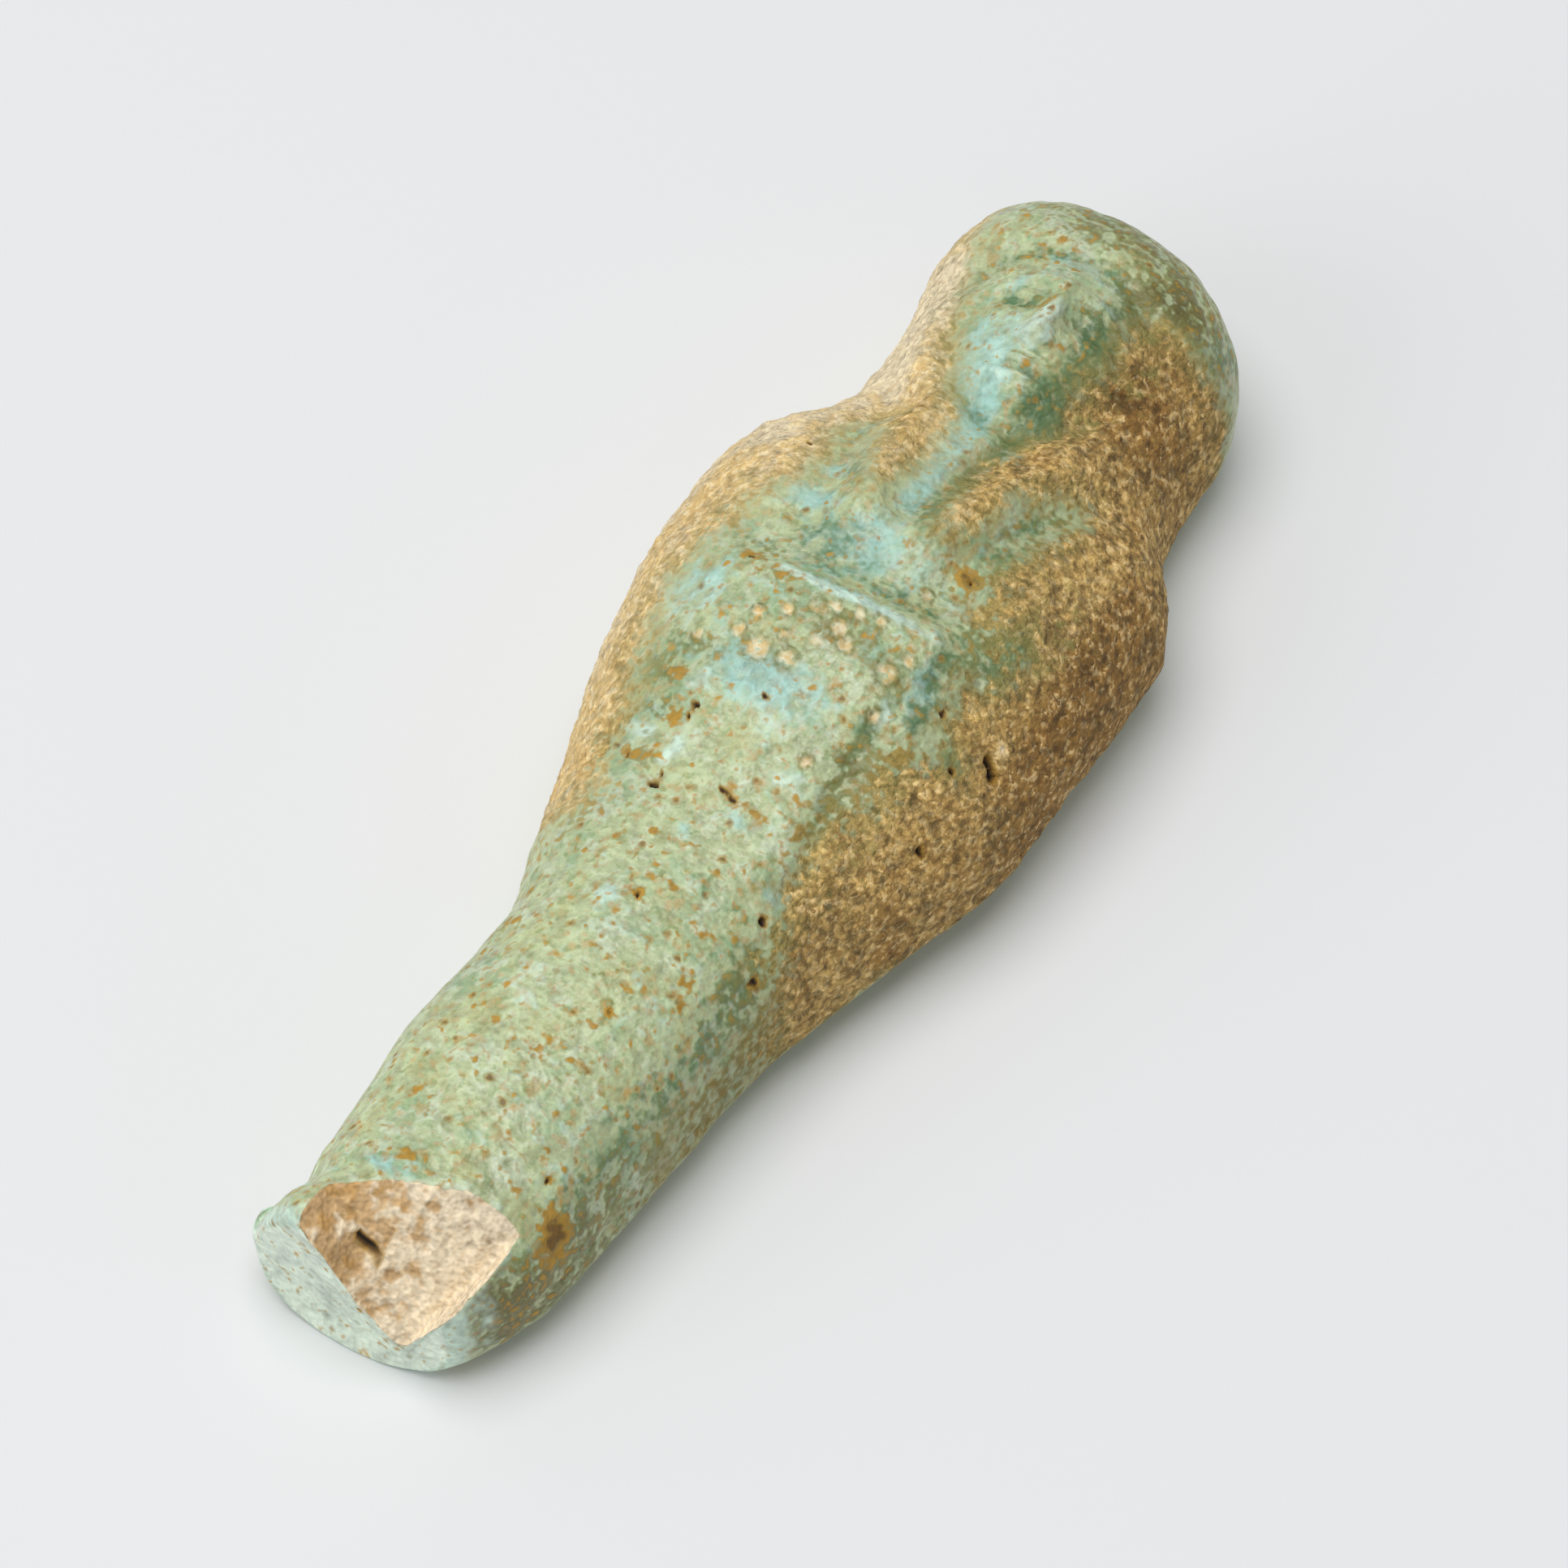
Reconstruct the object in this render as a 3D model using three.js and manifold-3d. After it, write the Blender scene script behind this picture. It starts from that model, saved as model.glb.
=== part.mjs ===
// A small ushabti: a mummy-shaped funerary figurine, pressed in a mould from quartz faience and glazed.
// It is one piece and lies on its back. The projecting foot is broken away along a slanting fracture.
//
// Millimetres. +Y runs from the soles to the crown, +X to the figure's left, +Z up out of the chest.
// The origin is on the ground, under the middle of the figure's footprint.

import * as THREE from 'three';
import { mergeVertices } from 'three/addons/utils/BufferGeometryUtils.js';
import Module from 'manifold-3d';

const wasm = await Module();
wasm.setup();

// Driving dimensions
const figureLength = 100;      // soles to crown
const elbowWidth = 34.4;       // widest part of the outline
const chestHeight = 20;        // thickest part of the body, back to breast
const widestShare = 0.36;      // height of the widest level, as a share of the thickness
const backSink = 0.35;         // how far the round back is pressed flat where it rests
const crownRound = 12;         // length of the rounded crown
const soleRound = 1.5;         // length of the rounded edge of the sole
const soleInset = 0.1;         // how far that edge draws in, as a share of the section
const soleBow = 1.2;           // how far the sole curves back at its sides
const soleBowReach = 12;       // height above the soles where that curve has died away

// Outline seen from the front: [height above the soles, figure's right edge, figure's left edge],
// the height as a share of the length and the edges as shares of the widest width.
const outline = [
  [0.000, -0.291, 0.178],
  [0.025, -0.305, 0.208],
  [0.040, -0.278, 0.228],
  [0.055, -0.255, 0.244],
  [0.080, -0.255, 0.266],
  [0.180, -0.260, 0.304],
  [0.250, -0.234, 0.327],
  [0.290, -0.227, 0.342],
  [0.350, -0.269, 0.387],
  [0.410, -0.315, 0.447],
  [0.510, -0.391, 0.545],
  [0.590, -0.427, 0.563],
  [0.660, -0.429, 0.573],
  [0.710, -0.408, 0.572],
  [0.750, -0.314, 0.528],
  [0.790, -0.267, 0.451],
  [0.840, -0.265, 0.431],
  [0.900, -0.291, 0.433],
  [1.000, -0.366, 0.426],
];

// Profile seen from the side: [height above the soles, front height], as shares of the length and
// of the chest's thickness.
const profile = [
  [0.00, 0.72],
  [0.09, 0.71],
  [0.24, 0.77],
  [0.39, 0.80],
  [0.52, 0.93],
  [0.63, 0.98],
  [0.73, 0.88],
  [0.81, 0.83],
  [0.90, 0.88],
  [1.00, 0.94],
];

// Powers of the section's rounded outline: the sides, the front and the flatter back
const section = { sides: 2.3, front: 2.2, back: 3 };

// Grid: rings along the body, closer together over the chest and face, and points round each ring
const ringSpacing = [
  [0.00, 1.1],
  [0.06, 1.4],
  [0.10, 2.3],
  [0.45, 2.2],
  [0.56, 1.3],
  [0.74, 1.2],
  [0.78, 0.85],
  [0.92, 0.85],
  [0.97, 0.9],
  [1.00, 0.4],
];
const frontPoints = 46;
const backPoints = 16;

// Smooth curve through stations that never overshoots them (monotone cubic).
function smoothCurve(stations, column, xScale, yScale) {
  const x = stations.map((station) => station[0] * xScale);
  const y = stations.map((station) => station[column] * yScale);
  const last = x.length - 1;
  const rise = x.slice(1).map((right, i) => (y[i + 1] - y[i]) / (right - x[i]));
  const slope = x.map((_, i) => {
    if (i === 0) return rise[0];
    if (i === last) return rise[last - 1];
    if (rise[i - 1] * rise[i] <= 0) return 0;
    const before = x[i] - x[i - 1];
    const after = x[i + 1] - x[i];
    const weightBefore = 2 * after + before;
    const weightAfter = after + 2 * before;
    return (weightBefore + weightAfter) / (weightBefore / rise[i - 1] + weightAfter / rise[i]);
  });
  return (at) => {
    let i = 0;
    while (i < last - 1 && at > x[i + 1]) i += 1;
    const step = x[i + 1] - x[i];
    const t = THREE.MathUtils.clamp((at - x[i]) / step, 0, 1);
    const u = 1 - t;
    return y[i] * u * u * (1 + 2 * t) + y[i + 1] * t * t * (1 + 2 * u)
      + step * t * u * (slope[i] * u - slope[i + 1] * t);
  };
}

const rightEdge = smoothCurve(outline, 1, figureLength, elbowWidth);
const leftEdge = smoothCurve(outline, 2, figureLength, elbowWidth);
const frontHeight = smoothCurve(profile, 1, figureLength, chestHeight);
const spacingAt = smoothCurve(ringSpacing, 1, figureLength, 1);

const smooth = (from, to, value) => THREE.MathUtils.smoothstep(value, from, to);

// A soft round mound of height 1 at its middle, with half-widths a along X and b along Y.
const mound = (x, y, atX, atY, a, b) => Math.exp(-(((x - atX) / a) ** 2) - ((y - atY) / b) ** 2);

// A ridge of height 1 along the straight line between two points, fading at its ends.
function ridge(x, y, from, to, halfWidth) {
  const dx = to[0] - from[0];
  const dy = to[1] - from[1];
  const length = Math.hypot(dx, dy);
  const along = ((x - from[0]) * dx + (y - from[1]) * dy) / length;
  const across = ((x - from[0]) * dy - (y - from[1]) * dx) / length;
  const beyond = Math.max(-along, along - length, 0);
  return Math.exp(-((across / halfWidth) ** 2) - ((beyond / halfWidth) ** 2));
}

// Face: plain and calm, laid out by the usual thirds between hairline, brow, nose and chin.
const face = {
  chin: 76.8,          // height above the soles
  hairline: 90.8,
  halfWidth: 6.4,
  rise: 1.7,           // how far the whole face stands out of the wig
  wigOver: 3,          // length of forehead that the wig covers
  rim: 0.35,           // depth of the line round the face
  brow: 0.35,
  socket: 0.55,
  eye: 0.5,
  nose: 1.45,
  lips: 0.5,
  parting: 0.3,
  chinRise: 0.5,
  ear: 0.75,
};

function faceRelief(x, y) {
  const third = (face.hairline + face.wigOver - face.chin) / 3;
  const browLine = face.chin + 2 * third;
  const noseBase = face.chin + third;
  const eyeLine = browLine - 0.27 * third;
  const mouthLine = face.chin + 0.62 * third;
  const eyeOut = 0.42 * face.halfWidth;
  const side = Math.abs(x);
  const middle = (face.chin + face.hairline) / 2;
  const halfHeight = (face.hairline - face.chin) / 2;
  const taper = 1 + 0.2 * (y - middle) / halfHeight;
  const radius = Math.hypot(x / (face.halfWidth * taper), (y - middle) / halfHeight);
  const dome = face.rise * (1 - smooth(0.35, 1.1, radius));
  const rim = -face.rim * Math.exp(-(((radius - 1.14) / 0.16) ** 2));
  const inside = 1 - smooth(0.75, 1.0, radius);
  const brow = face.brow * Math.exp(-(((y - browLine + 0.05 * side ** 2) / 0.7) ** 2));
  const sockets = -face.socket * mound(side, y, eyeOut, eyeLine, 1.9, 1.1);
  const eyes = face.eye * mound(side, y, eyeOut, eyeLine, 1.35, 0.6);
  const down = THREE.MathUtils.clamp((browLine - y) / (browLine - noseBase), 0, 1);
  const bridge = smooth(noseBase - 0.7, noseBase + 0.3, y) * (1 - smooth(browLine - 0.5, browLine + 1, y));
  const nose = bridge * face.nose * (0.25 + 0.75 * down) * Math.exp(-((x / (0.75 + 0.6 * down)) ** 2));
  const lips = face.lips * mound(x, y, 0, mouthLine, 2.2, 0.75);
  const parting = -face.parting * mound(x, y, 0, mouthLine, 1.9, 0.28);
  const chin = face.chinRise * mound(x, y, 0, face.chin + 1.5, 2.2, 1.3);
  const ears = face.ear * mound(side, y, face.halfWidth + 0.4, eyeLine - 1.2, 0.9, 1.9);
  return dome + rim + ears + inside * (brow + sockets + eyes + nose + lips + parting + chin);
}

// Wig and beard: two lappets come down beside the face and meet on the breast, with the beard
// in the valley between them and a groove outside each, where the shoulder begins.
const lappets = [
  { top: [-8.6, 84], knee: [-5.0, 75], tip: [-2.9, 64] },
  { top: [9.2, 84], knee: [5.9, 76], tip: [3.0, 64] },
];
const wig = {
  lappet: 1.0,         // height of a lappet
  lappetTop: 2.2,      // half-width above its knee
  lappetTip: 2.0,      // half-width below its knee
  groove: 0.85,        // depth of the groove outside it
  grooveHalf: 1.7,
  valley: 0.6,         // depth of the valley between the lappets
  valleyHalf: 1.5,
  beard: 0.55,
  beardHalf: 0.9,
};

function wigRelief(x, y) {
  let height = 0;
  for (const { top, knee, tip } of lappets) {
    const outward = Math.sign(top[0]);
    const upper = ridge(x, y, top, knee, wig.lappetTop);
    const lower = ridge(x, y, knee, tip, wig.lappetTip);
    const grooveTop = [knee[0] + 3.1 * outward, knee[1] + 0.5];
    const grooveTip = [tip[0] + 2.6 * outward, tip[1] - 1.5];
    height += wig.lappet * Math.max(upper, lower);
    height -= wig.groove * ridge(x, y, grooveTop, grooveTip, wig.grooveHalf);
  }
  const valley = -wig.valley * ridge(x, y, [0.6, 75.5], [0.1, 66], wig.valleyHalf);
  const beard = wig.beard * ridge(x, y, [0, 76], [0, 68], wig.beardHalf);
  return height + valley + beard;
}

// Arms: crossed forearms as one low band that stands out above a hollow at the breast.
const arms = {
  line: 57.3,          // upper edge of the band, above the soles
  tilt: 0.06,          // rise of that edge across the body
  depth: 8.5,
  halfWidth: 9.5,
  rise: 0.75,
  hollow: 0.75,
  hollowUp: 2.8,       // from the edge up to the middle of the hollow
  hollowHalf: 2.3,
};

function armRelief(x, y) {
  const line = arms.line + arms.tilt * x;
  const across = 1 - smooth(0.75, 1.15, Math.abs(x) / arms.halfWidth);
  const hollow = -arms.hollow * Math.exp(-(((y - line - arms.hollowUp) / arms.hollowHalf) ** 2));
  const upperEdge = 1 - smooth(line - 0.2, line + 1.3, y);
  const lowerEdge = smooth(line - arms.depth - 5, line - 3, y);
  return across * (hollow + arms.rise * upperEdge * lowerEdge);
}

// Fracture of the foot: three slanting facets that meet in a hollow on the sole. Each is
// [height where it crosses the origin, rise towards the figure's left, rise up the body].
const facets = {
  back: [5.18, -0.67, 1.45],
  left: [0.52, 1.45, 0.10],
  right: [5.97, -1.50, 0.10],
};

// The figure's right corner of the foot slopes down above the sole.
const toe = { drop: 3, across: -8.2, up: 2.5, halfWidth: 2.6, halfLength: 3 };

// Share of the full section left at a distance into a rounded end.
const roundOff = (share, power) => (1 - THREE.MathUtils.clamp(share, 0, 1) ** power) ** (1 / power);

// A point of the skin: y along the body and turn round it, 0 at the figure's left side. Turns over
// half a circle are on the back, pressed flat at the ground.
function skinPoint(y, turn) {
  const right = rightEdge(y);
  const left = leftEdge(y);
  const halfWidth = (left - right) / 2;
  const crown = y - figureLength;
  const sole = 1 - soleInset + soleInset * roundOff((soleRound - y) / soleRound, 2);
  const widthShare = roundOff(crown / crownRound + 1, 2.2) * sole;
  const heightShare = roundOff(crown / crownRound / 0.85 + 1, 2.3) * sole;
  const cos = Math.cos(turn);
  const sin = Math.sin(turn);
  const across = halfWidth * widthShare * Math.sign(cos) * Math.abs(cos) ** (2 / section.sides);
  const bow = soleBow * (across / halfWidth) ** 2 * Math.max(1 - y / soleBowReach, 0) ** 2;
  const thickness = frontHeight(y);
  const widest = thickness * widestShare;
  const point = new THREE.Vector3((right + left) / 2 + across, y + bow, 0);
  if (sin < 0) {
    const depth = (widest + backSink) * heightShare * Math.abs(sin) ** (2 / section.back);
    return point.setZ(Math.max(widest - depth, 0));
  }
  const facing = smooth(0.25, 0.8, sin) * heightShare;
  const relief = faceRelief(across, y) + wigRelief(across, y) + armRelief(across, y);
  const height = (thickness - widest) * heightShare * sin ** (2 / section.front);
  const slope = mound(across, y, toe.across, toe.up, toe.halfWidth, toe.halfLength) * smooth(0, 0.35, sin);
  return point.setZ(widest + height + facing * relief - toe.drop * slope);
}

function ringHeights() {
  const heights = [0];
  while (heights.at(-1) < figureLength) {
    heights.push(heights.at(-1) + spacingAt(heights.at(-1)));
  }
  const stretch = figureLength / heights.at(-1);
  return heights.map((y) => y * stretch);
}

function ringTurns() {
  const front = Array.from({ length: frontPoints }, (_, i) => Math.PI * i / frontPoints);
  const back = Array.from({ length: backPoints }, (_, i) => Math.PI * (1 + i / backPoints));
  return [...front, ...back];
}

// The whole skin: rings joined by two triangles per cell, with a fan over the sole and the crown.
function figurineGeometry() {
  const heights = ringHeights();
  const turns = ringTurns();
  const count = turns.length;
  const rings = heights.slice(0, -1).map((y) => turns.map((turn) => skinPoint(y, turn)));
  const points = rings.flat();
  const soleMiddle = points.length;
  const first = rings[0];
  const centre = first.reduce((sum, point) => sum.add(point), new THREE.Vector3());
  points.push(centre.divideScalar(count));
  const crownTip = points.length;
  points.push(skinPoint(figureLength, 0));
  const triangles = [];
  for (let j = 0; j < count; j += 1) {
    const next = (j + 1) % count;
    triangles.push(soleMiddle, j, next);
    for (let i = 0; i < rings.length - 1; i += 1) {
      const a = i * count + j;
      const b = i * count + next;
      const c = a + count;
      const d = b + count;
      triangles.push(a, c, d, a, d, b);
    }
    const lastRing = (rings.length - 1) * count;
    triangles.push(crownTip, lastRing + next, lastRing + j);
  }
  const geometry = new THREE.BufferGeometry().setFromPoints(points);
  geometry.setIndex(triangles);
  return geometry;
}

// Everything above all the facets: a block trimmed by the plane of each one.
function brokenFoot() {
  const reach = 60;
  let block = wasm.Manifold.cube([reach, reach, reach], true);
  for (const [height, leftward, upward] of Object.values(facets)) {
    const normal = new THREE.Vector3(-leftward, -upward, 1);
    block = block.trimByPlane(normal.toArray(), height / normal.length());
  }
  return block;
}

// three.js geometry to a manifold solid and back.
function toSolid(geometry) {
  const bare = geometry.clone();
  bare.deleteAttribute('normal');
  bare.deleteAttribute('uv');
  const merged = mergeVertices(bare);
  return new wasm.Manifold(new wasm.Mesh({
    numProp: 3,
    vertProperties: new Float32Array(merged.attributes.position.array),
    triVerts: new Uint32Array(merged.index.array),
  }));
}

function toGeometry(solid) {
  const mesh = solid.getMesh();
  const geometry = new THREE.BufferGeometry();
  geometry.setAttribute('position', new THREE.BufferAttribute(mesh.vertProperties, 3));
  geometry.setIndex(new THREE.BufferAttribute(mesh.triVerts, 1));
  return geometry;
}

// Move the figure so that the origin lies under the middle of its footprint.
function centreOnGround(geometry) {
  geometry.computeBoundingBox();
  const middle = geometry.boundingBox.getCenter(new THREE.Vector3());
  geometry.translate(-middle.x, -middle.y, 0);
}

const faience = new THREE.MeshStandardMaterial({ color: 0x9fb896, roughness: 0.5, metalness: 0 });

const skin = toGeometry(toSolid(figurineGeometry()).subtract(brokenFoot()));
centreOnGround(skin);
skin.computeVertexNormals();

const figurine = new THREE.Mesh(skin, faience);
figurine.name = 'figurine';

const ushabti = new THREE.Group();
ushabti.add(figurine);

export default ushabti;
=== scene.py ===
import math

import bpy
import numpy as np
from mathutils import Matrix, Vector


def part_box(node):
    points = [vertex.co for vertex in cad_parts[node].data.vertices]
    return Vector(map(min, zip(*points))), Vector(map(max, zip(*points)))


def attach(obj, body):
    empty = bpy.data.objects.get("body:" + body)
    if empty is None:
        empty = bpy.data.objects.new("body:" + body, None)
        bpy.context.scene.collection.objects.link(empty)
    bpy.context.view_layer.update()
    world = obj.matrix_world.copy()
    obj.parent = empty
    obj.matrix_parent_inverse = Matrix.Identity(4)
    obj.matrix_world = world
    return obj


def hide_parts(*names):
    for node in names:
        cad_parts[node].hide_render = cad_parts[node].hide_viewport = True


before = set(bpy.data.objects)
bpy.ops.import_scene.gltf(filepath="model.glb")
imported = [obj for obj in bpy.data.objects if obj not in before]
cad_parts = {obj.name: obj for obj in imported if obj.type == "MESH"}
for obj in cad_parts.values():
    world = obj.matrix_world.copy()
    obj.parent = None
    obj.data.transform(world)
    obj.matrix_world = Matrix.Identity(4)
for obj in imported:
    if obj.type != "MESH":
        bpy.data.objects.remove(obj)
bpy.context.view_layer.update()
low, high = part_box("figurine")
print("frame loaded")

# Shapes are worked out in millimetres, with x towards the figure's left, y from the soles to the
# crown and z up from the floor that it lies on. At the end they are scaled into the frame's box.
figureLength = 100.0
millimetre = (high[1] - low[1]) / figureLength

# Body: sizes of the moulded blank and of the grid that carries it.
body = {
    "elbowWidth": 34.4,     # widest part of the outline
    "chestHeight": 20.0,    # thickness at the breast
    "widestShare": 0.36,    # height of the widest level as a share of the thickness
    "backSink": 0.35,       # how far the round back is pressed flat
    "sidePower": 2.3,       # squareness of the section: at its sides, in front and at the back
    "frontPower": 2.2,
    "backPower": 3.0,
    "crownRound": 12.0,     # length of the rounded crown
    "crownReach": 0.85,     # share of that length in which the thickness is rounded
    "crownPowers": (2.2, 2.3),  # squareness of the crown: across and in thickness
    "soleRound": 1.5,       # length of the rounded edge of the sole
    "soleInset": 0.1,       # how far that edge draws in, as a share of the section
    "soleBow": 1.2,         # how far the sole curves back at its sides
    "soleBowReach": 12.0,   # height above the soles where that curve has died away
    "soleMiddle": (2.0, 1.5),   # where the rings of the sole close, under the fracture
    "seamHeight": 5.58,     # height of the mould seam above the floor
    # height above the soles, figure's right edge, figure's left edge, as shares
    "outline": [
        (0.000, -0.291, 0.178), (0.025, -0.305, 0.208), (0.040, -0.278, 0.228),
        (0.055, -0.255, 0.244), (0.080, -0.255, 0.266), (0.180, -0.260, 0.304),
        (0.250, -0.234, 0.327), (0.290, -0.227, 0.342), (0.350, -0.269, 0.387),
        (0.410, -0.315, 0.447), (0.510, -0.391, 0.545), (0.590, -0.427, 0.563),
        (0.660, -0.429, 0.573), (0.710, -0.408, 0.572), (0.750, -0.314, 0.528),
        (0.790, -0.267, 0.451), (0.840, -0.265, 0.431), (0.900, -0.291, 0.433),
        (1.000, -0.366, 0.426),
    ],
    # height above the soles, front height as a share of the breast's
    "profile": [
        (0.00, 0.72), (0.09, 0.71), (0.24, 0.77), (0.39, 0.80), (0.52, 0.93),
        (0.63, 0.98), (0.73, 0.88), (0.81, 0.83), (0.90, 0.88), (1.00, 0.94),
    ],
    # points round a ring, numbers of rings, and the heights where their spacing changes
    "frontPoints": 200, "backPoints": 84,
    "soleRings": 16, "soleEdgeRings": 8, "crownRings": 44,
    "legStep": 0.40, "bellyStart": 34, "bellyStep": 0.31, "chestStart": 58, "chestStep": 0.26,
}


# Smooth curve through stations that never overshoots them: a cubic between each pair, whose slope
# at a station is the harmonic mean of the slopes beside it, or 0 where they have opposite signs.
def smoothCurve(stations, column, at):
    table = np.array(stations)
    x, y = table[:, 0], table[:, column]
    step = np.diff(x)
    rise = np.diff(y) / step
    before, after = 2 * step[1:] + step[:-1], step[1:] + 2 * step[:-1]
    same = rise[:-1] * rise[1:] > 0
    first, second = np.where(same, rise[:-1], 1.0), np.where(same, rise[1:], 1.0)
    inner = np.where(same, (before + after) / (before / first + after / second), 0.0)
    slope = np.concatenate([rise[:1], inner, rise[-1:]])
    i = np.clip(np.searchsorted(x, at) - 1, 0, len(step) - 1)
    t = np.clip((at - x[i]) / step[i], 0, 1)
    u = 1 - t
    bend = step[i] * t * u * (slope[i] * u - slope[i + 1] * t)
    return y[i] * u * u * (1 + 2 * t) + y[i + 1] * t * t * (1 + 2 * u) + bend


# Smooth rise from 0 to 1 between two values: t * t * (3 - 2 * t).
def smooth(start, end, value):
    t = np.clip((value - start) / (end - start), 0, 1)
    return t * t * (3 - 2 * t)


# A soft round mound, 1 at its middle: exp(-(dx/a)^2 - (dy/b)^2).
def mound(x, y, atX, atY, a, b):
    return np.exp(-((x - atX) / a) ** 2 - ((y - atY) / b) ** 2)


# A ridge of height 1 along a straight line, fading across it and past its ends.
def ridge(x, y, start, end, halfWidth):
    dx, dy = end[0] - start[0], end[1] - start[1]
    length = math.hypot(dx, dy)
    along = ((x - start[0]) * dx + (y - start[1]) * dy) / length
    across = ((x - start[0]) * dy - (y - start[1]) * dx) / length
    beyond = np.maximum(np.maximum(-along, along - length), 0)
    return np.exp(-(across / halfWidth) ** 2 - (beyond / halfWidth) ** 2)


# A ridge along a chain of points: the highest of its straight parts.
def ridgeChain(x, y, points, halfWidth):
    parts = [ridge(x, y, a, b, halfWidth) for a, b in zip(points, points[1:])]
    return np.maximum.reduce(parts)


# Distance to the edge of a closed outline, positive inside.
def insideDistance(x, y, points):
    nearest = np.full(x.shape, 1e6)
    inside = np.zeros(x.shape, bool)
    for (ax, ay), (bx, by) in zip(points, points[1:] + points[:1]):
        dx, dy = bx - ax, by - ay
        t = np.clip(((x - ax) * dx + (y - ay) * dy) / (dx * dx + dy * dy), 0, 1)
        nearest = np.minimum(nearest, np.hypot(x - ax - t * dx, y - ay - t * dy))
        crosses = (ay > y) != (by > y)
        inside ^= crosses & (x < ax + (y - ay) * dx / (dy if dy else 1e-9))
    return np.where(inside, nearest, -nearest)


# Smooth random values from -1 to 1: random numbers on a cubic lattice, blended between.
def latticeNoise(points, cell, seed):
    size = 40
    table = np.random.default_rng(seed).uniform(-1, 1, (size, size, size))
    place = points / cell
    base = np.floor(place).astype(int)
    t = place - base
    t = t * t * (3 - 2 * t)
    total = np.zeros(points.shape[:-1])
    for corner in np.ndindex(2, 2, 2):
        index = (base + corner) % size
        weight = np.where(corner, t, 1 - t).prod(axis=-1)
        total += weight * table[index[..., 0], index[..., 1], index[..., 2]]
    return total


# Several layers of lattice noise, each finer and fainter.
def layeredNoise(points, cell, layers, seed):
    total, strength, weight = 0, 1.0, 0
    for layer in range(layers):
        total = total + strength * latticeNoise(points, cell / 2 ** layer, seed + layer)
        weight += strength
        strength *= 0.55
    return total / weight


# Quarter of a rounded square, 1 at share 0 and 0 at share 1: (1 - share^power)^(1/power).
def roundOff(share, power):
    return (1 - np.clip(share, 0, 1) ** power) ** (1 / power)


# Face: plain and calm, laid out by the usual thirds between hairline, brow, nose and chin.
face = {
    "chin": 76.8, "hairline": 90.8, "halfWidth": 6.4,
    "covered": 3.0,         # part of the forehead's third that lies under the wig
    "dome": 1.7,            # how far the face stands out
    "rim": 0.40,            # depth of the groove between face and wig
    "brow": 0.65, "socket": 1.30, "eye": 1.10, "ear": 0.75,
    "noseRoot": 0.55, "noseTip": 1.5,   # height at the brow, and what is added down to the tip
    "lips": 1.30, "parting": 1.90, "chinRise": 0.80,
}


# The face's dome with the ears, and apart from it the features: a groove round the face, and
# inside it soft mounds and hollows for brow, eyes, nose, lips and chin.
def faceRelief(x, y):
    chinY, hairY, half = face["chin"], face["hairline"], face["halfWidth"]
    third = (hairY + face["covered"] - chinY) / 3
    browLine, noseBase = chinY + 2 * third, chinY + third
    eyeLine, mouthLine = browLine - 0.27 * third, chinY + 0.62 * third
    eyeOut = 0.42 * half
    side = np.abs(x)
    middle, halfHeight = (chinY + hairY) / 2, (hairY - chinY) / 2
    taper = 1 + 0.2 * (y - middle) / halfHeight
    radius = np.hypot(x / (half * taper), (y - middle) / halfHeight)
    dome = face["dome"] * (1 - smooth(0.35, 1.1, radius))
    ears = face["ear"] * mound(side, y, half + 0.4, eyeLine - 1.2, 0.9, 1.9)

    brow = face["brow"] * np.exp(-((y - browLine + 0.05 * side ** 2) / 0.65) ** 2)
    sockets = face["socket"] * mound(side, y, eyeOut, eyeLine, 2.0, 1.25)
    eyes = face["eye"] * mound(side, y, eyeOut, eyeLine, 1.45, 0.60)
    down = np.clip((browLine - y) / (browLine - noseBase), 0, 1)
    reach = smooth(noseBase - 0.7, noseBase + 0.3, y) * (1 - smooth(browLine - 0.5, browLine + 1, y))
    nose = (face["noseRoot"] + face["noseTip"] * down) * np.exp(-(x / (0.75 + 0.6 * down)) ** 2)
    lips = face["lips"] * mound(x, y, 0, mouthLine, 2.1, 0.95)
    parting = face["parting"] * mound(x, y, 0, mouthLine, 1.9, 0.32)
    chin = face["chinRise"] * mound(x, y, 0, chinY + 1.2, 2.2, 1.1)
    rim = face["rim"] * np.exp(-((radius - 1.12) / 0.13) ** 2)
    inside = 1 - smooth(0.75, 1.0, radius)
    features = inside * (brow - sockets + eyes + reach * nose + lips - parting + chin) - rim
    return dome + ears, features


# Wig and beard: two lappets meet on the breast, with the beard in the valley between them and a
# groove outside each, where the shoulder begins. The points are across and height.
wig = {
    "lappets": [
        {"top": (-8.6, 84), "knee": (-5.0, 75), "tip": (-2.9, 64)},
        {"top": (9.2, 84), "knee": (5.9, 76), "tip": (3.0, 64)},
    ],
    "groove": 0.85, "grooveHalf": 1.7,
    "valley": 0.6, "beard": 0.55,
}


# Each lappet is the higher of two ridges that meet at its knee, less the groove beside it.
def wigRelief(x, y):
    height = 0
    for strand in wig["lappets"]:
        top, knee, tip = strand["top"], strand["knee"], strand["tip"]
        outward = math.copysign(1, top[0])
        upper, lower = ridge(x, y, top, knee, 2.2), ridge(x, y, knee, tip, 2.0)
        grooveTop = (knee[0] + 3.1 * outward, knee[1] + 0.5)
        grooveTip = (tip[0] + 2.6 * outward, tip[1] - 1.5)
        groove = wig["groove"] * ridge(x, y, grooveTop, grooveTip, wig["grooveHalf"])
        height = height + np.maximum(upper, lower) - groove
    valley = wig["valley"] * ridge(x, y, (0.6, 75.5), (0.1, 66), 1.5)
    beard = wig["beard"] * ridge(x, y, (0, 76), (0, 68), 0.9)
    return height - valley + beard


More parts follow.
